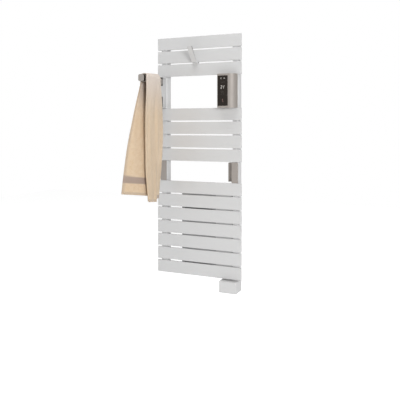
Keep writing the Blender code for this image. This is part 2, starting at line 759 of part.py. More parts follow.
def make_bar(arm):
    """The hollow bar, the dark collar on its end and the cap that plugs through both."""
    end = ARM_LENGTH - CAP_T - GAP
    joint = end - COLLAR_LENGTH
    bar_span = (HUB_R + 0.002, joint - GAP)
    collar_span = (joint, end)
    bore_span = (0.0, ARM_LENGTH)
    bar = bar_section("towel_bar", bar_span, 0.0, TAUPE, arm)
    boolean(bar, bar_section("bar_hollow", bore_span, BAR_WALL, None, arm))
    smooth(bar)
    collar = bar_section("bar_collar", collar_span, COLLAR_INSET, DARK_PLASTIC, arm)
    boolean(collar, bar_section("collar_hollow", bore_span, BAR_WALL, None, arm))
    smooth(collar)
    cap = bar_section("bar_end_cap", (end + GAP, ARM_LENGTH), 0.0, TAUPE, arm)
    round_edges(cap, 0.0012, 1)
    z0, z1 = PLUG_Z
    plug = ((joint - PLUG_GRIP, -PLUG_HALF, z0), (end + CAP_T / 2, PLUG_HALF, z1))
    boolean(cap, boxes("cap_plug", [plug], None, arm), "UNION")
    smooth(cap)


def towel_leg(name, arm, side, bottom, foot_s, foot_t):
    """A hanging half of the towel. Its foot has its own depth at the far and at the near end."""
    bm = bmesh.new()
    top = BAR_Z[1] - 0.001
    middle = (top + bottom) / 2
    verts = add_box(bm, (0, 0, bottom), (1, 1, top))
    for vert in verts:
        at_foot = vert.co.z < middle
        along = foot_s if at_foot else TOWEL_S
        end = 0 if vert.co.x < 0.5 else 1
        across = foot_t[end] if at_foot else (TOWEL_SIDE, TOWEL_OUTER)
        vert.co.x = along[end]
        vert.co.y = side * (across[0] if vert.co.y < 0.5 else across[1])
    bmesh.ops.triangulate(bm, faces=bm.faces)
    return place(name, mesh_of(name, bm), None, arm)


def make_towel(arm):
    """The towel's plain outer shape: a saddle over the bar and two hanging halves."""
    low = (TOWEL_S[0], -TOWEL_OUTER, BAR_Z[1] - 0.008)
    high = (TOWEL_S[1], TOWEL_OUTER, TOWEL_TOP)
    saddle = boxes("towel", [(low, high)], TOWEL_CLOTH, arm)
    round_edges(saddle, 0.006, 2)
    slat_side = towel_leg("towel_slat_side", arm, 1, SLAT_FOOT_Z, SLAT_FOOT_S, SLAT_FOOT_T)
    free_side = towel_leg("towel_free_side", arm, -1, FREE_FOOT_Z, FREE_FOOT_S, FREE_FOOT_T)
    boolean(saddle, slat_side, "UNION")
    boolean(saddle, free_side, "UNION")
    play = 0.001
    room = BAR_W / 2 + play
    low = (TOWEL_S[0] - 5 * CUT, -room, BAR_Z[0] - CUT)
    high = (TOWEL_S[1] + 5 * CUT, room, BAR_Z[1] + play)
    boolean(saddle, boxes("towel_passage", [(low, high)], None, arm))


def make_arm(low, high):
    """Everything that turns about the pin. Local +X runs along the bar and local +Y is its slat side."""
    arm = bpy.data.objects.new("arm_axis", None)
    turn = Matrix.Rotation(math.radians(ARM_REST_ANGLE - 90.0), 4, "Z")
    arm.matrix_world = Matrix.Translation(PIVOT) @ turn
    PARTS.objects.link(arm)
    make_hub(arm, low, high)
    make_bar(arm)
    make_towel(arm)


# ---- small fittings ----------------------------------------------------------------------------------------
def make_receivers():
    """Receivers for the swivel bar: a cover on the mast's front and a socket block on its left side."""
    middle = (WINDOW_Z[1][0] + WINDOW_Z[1][1]) / 2
    low = middle - RECEIVER_SIDE_H / 2
    high = middle + RECEIVER_SIDE_H / 2
    front, back = RECEIVER_Y
    for side, x in MAST_SIDES:
        half = MAST_W / 2
        name = "bar_receiver_" + side
        inner = x - half - GAP
        outer = inner - RECEIVER_T
        reach = RECEIVER_H / 2
        face = ((outer, FRONT, middle - reach), (x + half, MAST_FRONT - GAP, middle + reach))
        cover = boxes(name, [face], TAUPE)
        round_edges(cover, 0.0015, 1)
        web = ((outer, FRONT + 0.004, low), (inner, back, high))
        left = inner - RECEIVER_SIDE_W
        block = ((left, front, low), (inner - 0.001, back - 0.001, high))
        boolean(cover, boxes(name + "_web", [web]), "UNION")
        boolean(cover, boxes(name + "_block", [block]), "UNION")
        socket = [((left + inner) / 2 - 0.002, (front + back) / 2, high)]
        boolean(cover, rods(name + "_socket", socket, "Z", 0.0080, 6 * CUT, sides=16))


def hook_outline():
    """Side view of the tongue, from the clip out and up: (distance from the slats, height)."""
    radius = HOOK_KNEE_R
    low = 0.004
    centre = (-0.012, low + radius)
    inner = arc(centre, radius, 270, HOOK_BEND, 4)
    outer = arc(centre, radius + HOOK_T, HOOK_BEND, 270, 4)
    heading = math.radians(HOOK_BEND - 90)
    reach = Vector((math.cos(heading), math.sin(heading))) * HOOK_RISE
    tip_in = Vector(inner[-1]) + reach
    tip_out = Vector(outer[0]) + reach
    tip = (tip_in + tip_out) / 2 + Vector((0.0, HOOK_T / 2))
    root = -0.003
    tips = [tuple(tip_in), tuple(tip), tuple(tip_out)]
    return [(root, low)] + inner + tips + outer + [(root, low - HOOK_T)]


def make_coat_hook():
    """A straight tongue that leaves a clip in the second gap and slopes out and up."""
    upright = Matrix(((0, 0, 1, 0), (1, 0, 0, 0), (0, 1, 0, 0), (0, 0, 0, 1)))
    side_view = Matrix.Translation((HOOK_X, FRONT, HOOK_Z)) @ upright
    hook = outline("coat_hook", hook_outline(), HOOK_W / 2, WHITE, matrix=side_view)
    round_edges(hook, 0.0010, 1)
    x0 = HOOK_X - HOOK_W / 2 - 0.003
    x1 = HOOK_X + HOOK_W / 2 + 0.003
    face = FRONT - GAP
    back = MAST_FRONT + 0.0040
    plate = ((x0, FRONT - 0.0055, HOOK_Z - 0.013), (x1, face, HOOK_Z + 0.020))
    boolean(hook, boxes("hook_plate", [plate]), "UNION")
    reach = SLAT_GAP / 2 - GAP
    tail = ((x0, face - 0.002, HOOK_Z - reach), (x1, back, HOOK_Z + reach))
    boolean(hook, boxes("hook_tail", [tail]), "UNION")
    catch = ((x0, MAST_FRONT + GAP, HOOK_Z - 0.010), (x1, back, HOOK_Z + 0.010))
    boolean(hook, boxes("hook_catch", [catch]), "UNION")
    smooth(hook)


# ---- wall fixing -------------------------------------------------------------------------------------------
def make_wall_rail():
    """A grooved rail and the screws that hold it to the wall."""
    half = RAIL_H / 2
    front = -RAIL_T
    floor = front + RAIL_GROOVE
    end = RAIL_LENGTH / 2
    rail = boxes("wall_rail", [((-end, front, -half), (end, 0.0, half))], STEEL)
    round_edges(rail, 0.0015, 1)
    groove = ((-2 * end, front - CUT, -half + 0.010), (2 * end, floor, half - 0.010))
    boolean(rail, boxes("rail_groove", [groove]))
    holes = [(side * place_x, front, 0.0) for side in (-1, 1) for place_x in RAIL_HOLE_X]
    boolean(rail, rods("rail_holes", holes, "Y", WALL_SCREW_R + 0.0004, 4 * CUT, sides=12))
    shank = WALL_SCREW_R
    screw = [(0.0, 0.0028), (shank, 0.0028), (shank, -GAP), (0.0060, -GAP), (0.0048, -0.0030), (0.0, -0.0030)]
    for number, (x, _, z) in enumerate(holes, 1):
        turned(f"rail_screw_{number}", screw, (x, floor, z), "Y", STEEL, steps=12)


def make_wall_fixing():
    """The rail, the brackets that sit the masts on it and the stand-offs near the lower end."""
    make_wall_rail()
    back = MAST_BACK + GAP
    neck, collar, foot = STANDOFF_R
    shape = [(0.0, 0.0), (foot, 0.0), (foot, -0.005), (foot - 0.0015, -0.007), (neck, -0.009)]
    shape += [(neck, -0.034), (collar, -0.036), (collar, back), (0.0, back)]
    for side, sign in (("left", -1), ("right", 1)):
        x = sign * BRACKET_X
        half = BRACKET_W / 2
        low = (x - half, back, -BRACKET_H / 2)
        high = (x + half, -RAIL_T - GAP, BRACKET_H / 2)
        round_edges(boxes("upper_bracket_" + side, [(low, high)], WHITE), 0.0020, 1)
        turned("lower_standoff_" + side, shape, (sign * STANDOFF_X, 0.0, STANDOFF_Z), "Y", WHITE, steps=20)


def main():
    for index, height in enumerate(SLAT_Z, 1):
        make_slat(index, height)
    for side, x in MAST_SIDES:
        make_mast(side, x)
    make_plugs()
    make_heating_element()
    make_box_shell()
    make_box_fittings()
    make_blower_housing()
    make_blower_front()
    make_rotor()
    make_motor()
    make_cassette()
    make_power_board()
    make_filter()
    make_control()
    make_arm(*make_hinge())
    make_receivers()
    make_coat_hook()
    make_wall_fixing()


main()
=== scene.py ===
"""Looks of the wall-hung towel radiator: camera, light, materials, fine pieces and the draped towel."""
import json
import math

import bmesh
import bpy
import numpy as np
from mathutils import Matrix, Vector


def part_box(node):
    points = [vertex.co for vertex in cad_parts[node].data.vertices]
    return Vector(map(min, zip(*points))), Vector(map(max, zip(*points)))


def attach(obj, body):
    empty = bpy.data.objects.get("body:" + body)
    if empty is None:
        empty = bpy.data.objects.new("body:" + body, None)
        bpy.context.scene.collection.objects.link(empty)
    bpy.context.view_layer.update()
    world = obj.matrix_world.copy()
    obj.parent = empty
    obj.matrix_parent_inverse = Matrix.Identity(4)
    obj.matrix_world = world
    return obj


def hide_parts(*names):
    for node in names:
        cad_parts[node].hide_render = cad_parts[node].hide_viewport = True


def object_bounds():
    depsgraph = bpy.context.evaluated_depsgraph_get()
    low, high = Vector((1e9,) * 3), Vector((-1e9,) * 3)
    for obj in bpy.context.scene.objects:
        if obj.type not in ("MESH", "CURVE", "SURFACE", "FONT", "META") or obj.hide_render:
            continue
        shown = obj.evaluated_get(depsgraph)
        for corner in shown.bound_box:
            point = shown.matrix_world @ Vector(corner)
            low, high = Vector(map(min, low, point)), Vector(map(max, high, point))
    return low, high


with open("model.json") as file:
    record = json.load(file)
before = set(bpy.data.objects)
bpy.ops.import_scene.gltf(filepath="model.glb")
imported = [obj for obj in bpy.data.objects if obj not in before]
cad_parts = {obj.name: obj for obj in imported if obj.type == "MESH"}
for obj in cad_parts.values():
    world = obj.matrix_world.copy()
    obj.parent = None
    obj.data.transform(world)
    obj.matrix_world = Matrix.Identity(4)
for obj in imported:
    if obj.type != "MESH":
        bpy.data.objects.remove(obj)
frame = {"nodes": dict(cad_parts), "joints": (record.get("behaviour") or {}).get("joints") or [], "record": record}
cad_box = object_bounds()

# ---- places taken from the frame ----
FIRST_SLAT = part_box("slat_01")
LAST_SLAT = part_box("slat_14")
FRONT = FIRST_SLAT[0].y
FIELD_BOTTOM = LAST_SLAT[0].z
JOINTS = {joint["name"]: joint for joint in frame["joints"]}
PIVOT = Vector(JOINTS["bar_swing"]["pos_m"])
SLATS = [f"slat_{number:02d}" for number in range(1, 15)]
GAP = 0.0003  # the clearance that the CAD pieces have between them

# ---- materials ----


class Look:
    """Short helper for a node material around one Principled BSDF."""

    def __init__(self, name, colour, roughness, metallic=0.0):
        self.material = bpy.data.materials.new(name)
        self.material.use_nodes = True
        self.tree = self.material.node_tree
        self.shader = self.tree.nodes["Principled BSDF"]
        self.colour = (*colour, 1.0)
        self.shader.inputs["Base Color"].default_value = self.colour
        self.shader.inputs["Roughness"].default_value = roughness
        self.shader.inputs["Metallic"].default_value = metallic
        self.roughness = roughness
        self.place = self.node("ShaderNodeTexCoord").outputs["Object"]

    def node(self, kind, **settings):
        made = self.tree.nodes.new(kind)
        for key, value in settings.items():
            setattr(made, key, value)
        return made

    def link(self, source, target):
        self.tree.links.new(source, target)

    def stretched(self, place, scale):
        mapping = self.node("ShaderNodeMapping")
        mapping.inputs["Scale"].default_value = scale
        self.link(place, mapping.inputs["Vector"])
        return mapping.outputs["Vector"]

    def noise(self, scale, detail=2.0, rough=0.5, stretch=None):
        made = self.node("ShaderNodeTexNoise")
        made.inputs["Scale"].default_value = scale
        made.inputs["Detail"].default_value = detail
        made.inputs["Roughness"].default_value = rough
        place = self.stretched(self.place, stretch) if stretch else self.place
        self.link(place, made.inputs["Vector"])
        return made.outputs["Fac"]

    def spread(self, value, low, high, from_low=0.3, from_high=0.7):
        """Maps a value to the span from low to high, clamped."""
        made = self.node("ShaderNodeMapRange")
        made.inputs["From Min"].default_value = from_low
        made.inputs["From Max"].default_value = from_high
        made.inputs["To Min"].default_value = low
        made.inputs["To Max"].default_value = high
        self.link(value, made.inputs["Value"])
        return made.outputs["Result"]

    def mix(self, fac, first, second):
        made = self.node("ShaderNodeMix", data_type="RGBA")
        self.link(fac, made.inputs[0])
        first_colour, second_colour = made.inputs[6], made.inputs[7]
        for socket, value in ((first_colour, first), (second_colour, second)):
            if isinstance(value, tuple):
                socket.default_value = (*value[:3], 1.0)
            else:
                self.link(value, socket)
        return made.outputs[2]

    def math(self, operation, first, second):
        made = self.node("ShaderNodeMath", operation=operation)
        for socket, value in zip(made.inputs, (first, second)):
            if isinstance(value, (int, float)):
                socket.default_value = value
            else:
                self.link(value, socket)
        return made.outputs[0]

    def vary_colour(self, fac, amount):
        """Colour swings by a share of itself between two tones."""
        dark = tuple(c * (1 - amount) for c in self.colour[:3])
        light = tuple(min(1.0, c * (1 + amount)) for c in self.colour[:3])
        self.link(self.mix(fac, dark, light), self.shader.inputs["Base Color"])

    def vary_roughness(self, fac, amount):
        """Roughness swings by an amount to either side of its own value."""
        varied = self.spread(fac, self.roughness - amount, self.roughness + amount)
        self.link(varied, self.shader.inputs["Roughness"])

    def bump(self, height, distance):
        made = self.node("ShaderNodeBump")
        made.inputs["Distance"].default_value = distance
        self.link(height, made.inputs["Height"])
        self.link(made.outputs["Normal"], self.shader.inputs["Normal"])


def powder_coat(name, colour, roughness):
    """Epoxy powder coat: a fine orange peel and slightly uneven gloss."""
    look = Look(name, colour, roughness)
    look.vary_colour(look.noise(scale=9.0, detail=3.0), amount=0.012)
    look.vary_roughness(look.noise(scale=60.0, detail=4.0), amount=0.05)
    look.bump(look.noise(scale=520.0), distance=0.00006)
    look.shader.inputs["Coat Weight"].default_value = 0.25
    look.shader.inputs["Coat Roughness"].default_value = 0.28
    return look.material


def metallic_paint(name, colour, roughness):
    """Satin metallic paint with fine flakes."""
    look = Look(name, colour, roughness, metallic=0.18)
    flakes = look.node("ShaderNodeTexVoronoi")
    flakes.inputs["Scale"].default_value = 1400.0
    look.link(look.place, flakes.inputs["Vector"])
    glint = look.spread(flakes.outputs["Distance"], 0.0, 1.0, from_low=0.1, from_high=0.6)
    look.vary_colour(glint, amount=0.07)
    look.vary_roughness(look.noise(scale=45.0, detail=4.0), amount=0.06)
    look.bump(look.noise(scale=700.0), distance=0.00005)
    return look.material


def moulded_plastic(name, colour, roughness, specular=0.5):
    """Spark-eroded matt surface of a moulded part."""
    look = Look(name, colour, roughness)
    look.vary_colour(look.noise(scale=25.0, detail=4.0), amount=0.06)
    look.vary_roughness(look.noise(scale=90.0, detail=4.0), amount=0.08)
    look.bump(look.noise(scale=1500.0, detail=3.0), distance=0.00010)
    look.shader.inputs["Specular IOR Level"].default_value = specular
    return look.material


def brushed_metal(name, colour, roughness, stretch):
    """Metal with fine drawn lines."""
    look = Look(name, colour, roughness, metallic=1.0)
    lines = look.noise(scale=1.0, detail=5.0, rough=0.6, stretch=stretch)
    look.vary_colour(lines, amount=0.10)
    look.vary_roughness(lines, amount=0.10)
    look.bump(lines, distance=0.00005)
    return look.material


def black_glass():
    """Back-printed black glass with faint wiping marks."""
    look = Look("black_glass_look", (0.0160, 0.0115, 0.0080), roughness=0.06)
    wiped = look.noise(scale=1.0, detail=4.0, rough=0.6, stretch=(35.0, 35.0, 8.0))
    look.vary_roughness(wiped, amount=0.035)
    look.vary_colour(look.noise(scale=30.0), amount=0.15)
    look.shader.inputs["Coat Weight"].default_value = 0.6
    look.shader.inputs["Coat Roughness"].default_value = 0.03
    return look.material


def circuit_board():
    """Green solder mask with lighter tracks."""
    look = Look("circuit_board_look", (0.015, 0.09, 0.035), roughness=0.45)
    tracks = look.node("ShaderNodeTexBrick")
    tracks.inputs["Scale"].default_value = 170.0
    tracks.inputs["Color1"].default_value = (0.012, 0.075, 0.030, 1)
    tracks.inputs["Color2"].default_value = (0.018, 0.11, 0.045, 1)
    tracks.inputs["Mortar"].default_value = (0.05, 0.20, 0.08, 1)
    tracks.inputs["Mortar Size"].default_value = 0.03
    look.link(look.place, tracks.inputs["Vector"])
    look.link(tracks.outputs["Color"], look.shader.inputs["Base Color"])
    look.bump(tracks.outputs["Fac"], distance=0.00004)
    return look.material


def glow(name, colour, strength):
    """A lit segment behind glass: a little uneven over its area."""
    look = Look(name, colour, roughness=0.4)
    shade = look.spread(look.noise(scale=900.0), 0.85, 1.0)
    look.shader.inputs["Emission Color"].default_value = (*colour, 1.0)
    look.link(look.math("MULTIPLY", shade, strength), look.shader.inputs["Emission Strength"])
    return look.material


# towel colours, each from its first tone to its second
SAND = ((0.675, 0.515, 0.345), (0.695, 0.565, 0.415))
# painted shade in the hollows between the terry loops
LOOP_SHADE = (0.565, 0.41, 0.26)
NAP_HIGHLIGHT = (0.74, 0.65, 0.52)
STRIPE_GREY = ((0.305, 0.230, 0.188), (0.36, 0.28, 0.232))
HEM_TAN = ((0.45, 0.345, 0.245), (0.505, 0.40, 0.295))
# painted highlight: the paler pinkish tone of the cloth on and near the bar, where light from above falls, darker
# between the loops
PAINTED_HIGHLIGHT = ((0.745, 0.68, 0.64), (0.63, 0.555, 0.505))
PAINTED_HIGHLIGHT_SHARE = 0.88  # how far the cloth near the bar takes the painted highlight tone
RIB_HEIGHT = 0.35  # ribs of stripe and hem, as a share of a loop's height
LOOP_HEIGHT = 0.0012


def terry_cloth():
    """Cotton terry in warm sand with a flat grey stripe: rows of loops, colour drift and a nap sheen, with painted
    shade between the loops, a painted highlight on the cloth near the bar and a painted hem shadow.
    """
    look = Look("towel_cloth_look", (0.66, 0.47, 0.30), roughness=0.95)

    def painted(name, output="Fac"):
        return look.node("ShaderNodeAttribute", attribute_name=name).outputs[output]

    weave = painted("weave", "Vector")
    stripe = painted("stripe")
    hem = painted("hem")

    def on_cloth(kind, scale, stretch, output, **settings):
        made = look.node(kind, **settings)
        made.inputs["Scale"].default_value = scale
        look.link(look.stretched(weave, stretch), made.inputs["Vector"])
        return made.outputs[output]

    loops = on_cloth("ShaderNodeTexVoronoi", 480.0, (1.0, 0.8, 1.0), "Distance")
    rows = on_cloth("ShaderNodeTexWave", 95.0, (0.0, 1.0, 0.0), "Fac", bands_direction="Y")
    drift = on_cloth("ShaderNodeTexNoise", 7.0, (2.2, 0.5, 1.0), "Fac")
    blotch = on_cloth("ShaderNodeTexNoise", 60.0, (1.0, 0.7, 1.0), "Fac")
    between_loops = look.spread(loops, 0.0, 1.0, from_low=0.0)
    across_rows = look.spread(rows, 0.0, 1.0)
    sand = look.mix(look.spread(drift, 0.0, 1.0), *SAND)
    # painted shade between the loops
    nap = look.mix(between_loops, sand, LOOP_SHADE)
    nap = look.mix(look.spread(blotch, 0.0, 0.25), nap, NAP_HIGHLIGHT)
    # painted highlight on the cloth near the bar
    highlight_colour = look.mix(between_loops, *PAINTED_HIGHLIGHT)
    nap = look.mix(look.math("MULTIPLY", painted("crown_highlight"), PAINTED_HIGHLIGHT_SHARE), nap, highlight_colour)
    colour = look.mix(hem, nap, look.mix(across_rows, *HEM_TAN))
    # the stripe's grey, which also paints the hem shadow at one corner
    colour = look.mix(stripe, colour, look.mix(across_rows, *STRIPE_GREY))
    look.link(colour, look.shader.inputs["Base Color"])
    flat = look.math("MAXIMUM", stripe, hem)
    terry = look.math("SUBTRACT", 1.0, flat)
    loop_height = look.math("MULTIPLY", terry, look.spread(loops, 1.0, 0.0, from_low=0.0))
    rib_height = look.math("MULTIPLY", flat, look.math("MULTIPLY", rows, RIB_HEIGHT))
    look.bump(look.math("ADD", loop_height, rib_height), distance=LOOP_HEIGHT)
    look.vary_roughness(blotch, amount=0.04)
    look.shader.inputs["Sheen Weight"].default_value = 0.35
    look.shader.inputs["Sheen Roughness"].default_value = 0.55
    look.shader.inputs["Sheen Tint"].default_value = (1.0, 0.92, 0.82, 1.0)
    return look.material


LOOKS = {
    "white_paint": powder_coat("white_paint_look", (0.545, 0.545, 0.544), 0.38),
    # the slats' white paint made lighter for the masts: painted light on the mast fronts that lie in shade behind
    # the slat gaps
    "mast_white_painted_light": powder_coat("mast_white_painted_light_look", (0.70, 0.70, 0.70), 0.38),
    "taupe_paint": metallic_paint("taupe_paint_look", (0.302, 0.275, 0.252), 0.52),
    "black_glass": black_glass(),
    # near black; on the bar's collar this also paints the shade of the recess between bar and cap
    "dark_plastic": moulded_plastic("dark_plastic_look", (0.013, 0.008, 0.005), 0.6, specular=0.15),
    "grey_plastic": moulded_plastic("grey_plastic_look", (0.36, 0.36, 0.365), 0.55),
    "steel": brushed_metal("steel_look", (0.58, 0.58, 0.57), 0.32, (30.0, 900.0, 900.0)),
    "aluminium": brushed_metal("aluminium_look", (0.70, 0.70, 0.71), 0.36, (900.0, 900.0, 40.0)),
    "circuit_board": circuit_board(),
    "filter_plastic": moulded_plastic("filter_plastic_look", (0.035, 0.035, 0.038), 0.7),
    "towel_cloth": terry_cloth(),
    "display_light": glow("display_light_look", (0.62, 0.59, 0.56), 0.22),
    "display_dim": glow("display_dim_look", (0.10, 0.095, 0.09), 0.5),
    "display_rose": glow("display_rose_look", (0.24, 0.14, 0.125), 0.35),
}


def wear_cad_nodes():
    """Every CAD node that stays in view gets the look of its slot."""
    for subpart in frame["record"]["subparts"]:
        look = LOOKS.get(subpart["material_slot"])
        if look:
            node = frame["nodes"][subpart["node"]]
            node.data.materials.clear()
            node.data.materials.append(look)


# ---- stage ----
CAMERA_X = 1.381
CAMERA_REACH = 3.047  # distance in front of the slats
CAMERA_HEIGHT = 0.8945  # above the lowest slat's lower edge
CAMERA_TURN = 24.19  # degrees to the left
CAMERA_LENS = 50.0
CAMERA_SENSOR = 36.0
CAMERA_SHIFT = -0.182
AIM_HEIGHT = 0.72  # the lights aim at this height above the lowest slat's lower edge
LIGHTS = (
    # name, place from the aim point, width and height, watts
    ("key", (3.0, -3.4, 1.0), (1.4, 1.1), 107.0),
    ("fill", (-2.4, -3.6, 0.6), (1.6, 2.4), 8.0),
    ("top", (0.3, -0.9, 3.0), (2.6, 1.6), 58.0),
)
WORLD_LIGHT = 0.26
WORLD_SEEN = 1.0
FLOOR_LIGHT = 0.50
FLOOR_SEEN = 0.72
FLOOR_HALF = 6.0
FLOOR_DROP = 0.30  # the floor lies this far below the radiator


def add_to_scene(name, data):
    obj = bpy.data.objects.new(name, data)
    bpy.context.scene.collection.objects.link(obj)
    return obj


def mesh_from(name, bm):
    mesh = bpy.data.meshes.new(name)
    bm.to_mesh(mesh)
    bm.free()
    return mesh


def make_camera():
    """Level camera to the right of the radiator, framed with a vertical lens shift."""
    data = bpy.data.cameras.new("camera")
    data.lens = CAMERA_LENS
    data.sensor_width = CAMERA_SENSOR
    data.shift_y = CAMERA_SHIFT
    camera = add_to_scene("camera", data)
    camera.location = (CAMERA_X, FRONT - CAMERA_REACH, FIELD_BOTTOM + CAMERA_HEIGHT)
    camera.rotation_euler = (math.radians(90.0), 0.0, math.radians(CAMERA_TURN))
    bpy.context.scene.camera = camera


def make_lights():
    aim = Vector((0.0, FRONT, FIELD_BOTTOM + AIM_HEIGHT))
    for name, place, size, power in LIGHTS:
        data = bpy.data.lights.new(name, "AREA")
        data.shape = "RECTANGLE"
        data.size, data.size_y = size
        data.energy = power
        lamp = add_to_scene(name, data)
        lamp.location = aim + Vector(place)
        lamp.rotation_euler = (-Vector(place)).to_track_quat("-Z", "Y").to_euler()


def make_world():
    """White for the camera and a soft light for everything else."""
    world = bpy.data.worlds.new("studio")
    world.use_nodes = True
    tree = world.node_tree
    background = tree.nodes["Background"]
    seen = tree.nodes.new("ShaderNodeLightPath")
    level = tree.nodes.new("ShaderNodeMapRange")
    level.inputs["To Min"].default_value = WORLD_LIGHT
    level.inputs["To Max"].default_value = WORLD_SEEN
    tree.links.new(seen.outputs["Is Camera Ray"], level.inputs["Value"])
    tree.links.new(level.outputs["Result"], background.inputs["Strength"])
    background.inputs["Color"].default_value = (1, 1, 1, 1)
    bpy.context.scene.world = world
    bpy.context.scene.view_settings.view_transform = "Standard"


def make_floor():
    look = Look("floor_look", (0.95, 0.95, 0.95), roughness=0.9)
    look.vary_roughness(look.noise(scale=3.0), amount=0.03)
    look.shader.inputs["Emission Color"].default_value = (1, 1, 1, 1)
    seen = look.node("ShaderNodeLightPath").outputs["Is Camera Ray"]
    look.link(look.spread(seen, FLOOR_LIGHT, FLOOR_SEEN), look.shader.inputs["Emission Strength"])
    bm = bmesh.new()
    bmesh.ops.create_grid(bm, x_segments=1, y_segments=1, size=FLOOR_HALF)
    plane = add_to_scene("floor", mesh_from("floor", bm))
    plane.data.materials.append(look.material)
    plane.location = (0.0, 0.0, cad_box[0].z - FLOOR_DROP)


# ---- shapes ----
UP = (0, 0, 1)
BACK = (0, 1, 0)  # from the viewer to the wall
WELD_DISTANCE = 0.00001
LATHE_WELD = 0.000005
LATHE_STEPS = 48
BORE_STEPS = 48
FLAT_ANGLE = 1.0  # degrees: faces that meet flatter than this become one
SHARP_ANGLE = 35.0
LATHE_SHARP_ANGLE = 40.0


def round_off(obj, width, segments, angle):
    """Rounds the edges that are sharper than an angle."""
    bevel = obj.modifiers.new("round_off", "BEVEL")
    bevel.width = width
    bevel.segments = segments
    bevel.limit_method = "ANGLE"
    bevel.angle_limit = angle
    bevel.harden_normals = True


def finished_piece(
    name, bm, slot, body="radiator", bevel=0.0, segments=3, stands_for=(), sharp=SHARP_ANGLE
):
    """A mesh piece that rides on a body, with rounded edges where a bevel is given."""
    bmesh.ops.recalc_face_normals(bm, faces=bm.faces)
    mesh = mesh_from(name, bm)
    obj = add_to_scene(name, mesh)
    mesh.materials.append(LOOKS[slot])
    mesh.shade_smooth()
    mesh.set_sharp_from_angle(angle=math.radians(sharp))
    if bevel:
        round_off(obj, bevel, segments, math.radians(sharp))
    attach(obj, body)
    if stands_for:
        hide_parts(*stands_for)
    return obj


def add_block(bm, low, high):
    low = Vector(low)
    high = Vector(high)
    move = Matrix.Translation((low + high) / 2) @ Matrix.Diagonal((*(high - low), 1.0))
    bmesh.ops.create_cube(bm, size=1.0, matrix=move)


def cut(obj, bm):
    """Takes a shape out of a piece, before its edges are rounded."""
    bmesh.ops.recalc_face_normals(bm, faces=bm.faces)
    cutter_name = obj.name + "_cutter"
    cutter = add_to_scene(cutter_name, mesh_from(cutter_name, bm))
    rounding = [(m.width, m.segments, m.angle_limit) for m in obj.modifiers]
    obj.modifiers.clear()
    boolean = obj.modifiers.new("cut", "BOOLEAN")
    boolean.object = cutter
    boolean.solver = "EXACT"
    graph = bpy.context.evaluated_depsgraph_get()
    result = bpy.data.meshes.new_from_object(obj.evaluated_get(graph))
    obj.modifiers.clear()
    result.name = obj.name
    obj.data = result
    result.shade_smooth()
    for settings in rounding:
        round_off(obj, *settings)
    if not rounding:
        result.set_sharp_from_angle(angle=math.radians(SHARP_ANGLE))
    bpy.data.objects.remove(cutter)


def cut_bore(obj, centre, radius, depth, steps=BORE_STEPS):
    """Takes an upright round hole out of a piece, with its middle at the centre."""
    bore = bmesh.new()
    place = Matrix.Translation(centre)
    bmesh.ops.create_cone(
        bore, cap_ends=True, segments=steps, radius1=radius, radius2=radius, depth=depth, matrix=place
    )
    cut(obj, bore)


def block(name, low, high, slot, bevel, stands_for=(), segments=4):
    bm = bmesh.new()
    add_block(bm, low, high)
    return finished_piece(name, bm, slot, "radiator", bevel, segments, stands_for)


def refined(node, slot, bevel, body="radiator", segments=2):
    """A finer copy of a CAD node: the same faces, welded, with small rounded edges."""
    bm = bmesh.new()
    bm.from_mesh(frame["nodes"][node].data)
    bmesh.ops.remove_doubles(bm, verts=bm.verts, dist=WELD_DISTANCE)
    flat = math.radians(FLAT_ANGLE)
    bmesh.ops.dissolve_limit(bm, angle_limit=flat, verts=bm.verts, edges=bm.edges)
    finished_piece(node + "_fine", bm, slot, body, bevel, segments, (node,))


def lathe(name, profile, origin, axis, slot, node, body="radiator", closed=False):
    """A turned piece in a node's place, from (radius, height) points along an axis."""
    bm = bmesh.new()
    points = [bm.verts.new((radius, 0.0, height)) for radius, height in profile]
    edges = [bm.edges.new(pair) for pair in zip(points, points[1:])]
    if closed:
        edges.append(bm.edges.new((points[-1], points[0])))
    bmesh.ops.spin(
        bm, geom=points + edges, cent=(0, 0, 0), axis=UP, dvec=(0, 0, 0), angle=math.tau, steps=LATHE_STEPS
    )
    bmesh.ops.remove_doubles(bm, verts=bm.verts, dist=LATHE_WELD)
    turn = Vector(UP).rotation_difference(Vector(axis)).to_matrix().to_4x4()
    bmesh.ops.transform(bm, matrix=Matrix.Translation(origin) @ turn, verts=bm.verts)
    finished_piece(name, bm, slot, body, stands_for=(node,), sharp=LATHE_SHARP_ANGLE)


def arc(centre, radius, start, end, steps):
    """Points on an arc, angles in degrees."""
    found = []
    for step in range(steps + 1):
        angle = math.radians(start + (end - start) * step / steps)
        found.append((centre[0] + radius * math.cos(angle), centre[1] + radius * math.sin(angle)))
    return found


def rounded_rectangle(low, high, radius, steps):
    points = []
    for centre, start in (
        ((high[0] - radius, high[1] - radius), 0),
        ((low[0] + radius, high[1] - radius), 90),
        ((low[0] + radius, low[1] + radius), 180),
        ((high[0] - radius, low[1] + radius), 270),
    ):
        points += arc(centre, radius, start, start + 90, steps)
    return points


def add_prism(bm, points, low, high, matrix):
    """A flat outline in local XY, from low to high along local Z, put in place by a matrix."""
    bottom = [bm.verts.new(matrix @ Vector((x, y, low))) for x, y in points]
    top = [bm.verts.new(matrix @ Vector((x, y, high))) for x, y in points]
    bm.faces.new(list(reversed(bottom)))
    bm.faces.new(top)
    count = len(points)
    for index in range(count):
        after = (index + 1) % count
        bm.faces.new((bottom[index], bottom[after], top[after], top[index]))


def axes(origin, x, y, z):
    """Matrix with the given local axes."""
    made = Matrix((x, y, z)).transposed().to_4x4()
    made.translation = origin
    return made


def facing():
    """Matrix whose local XY is the front view and whose local Z comes forward."""
    return axes(Vector((0, 0, 0)), (1, 0, 0), (0, 0, 1), (0, -1, 0))


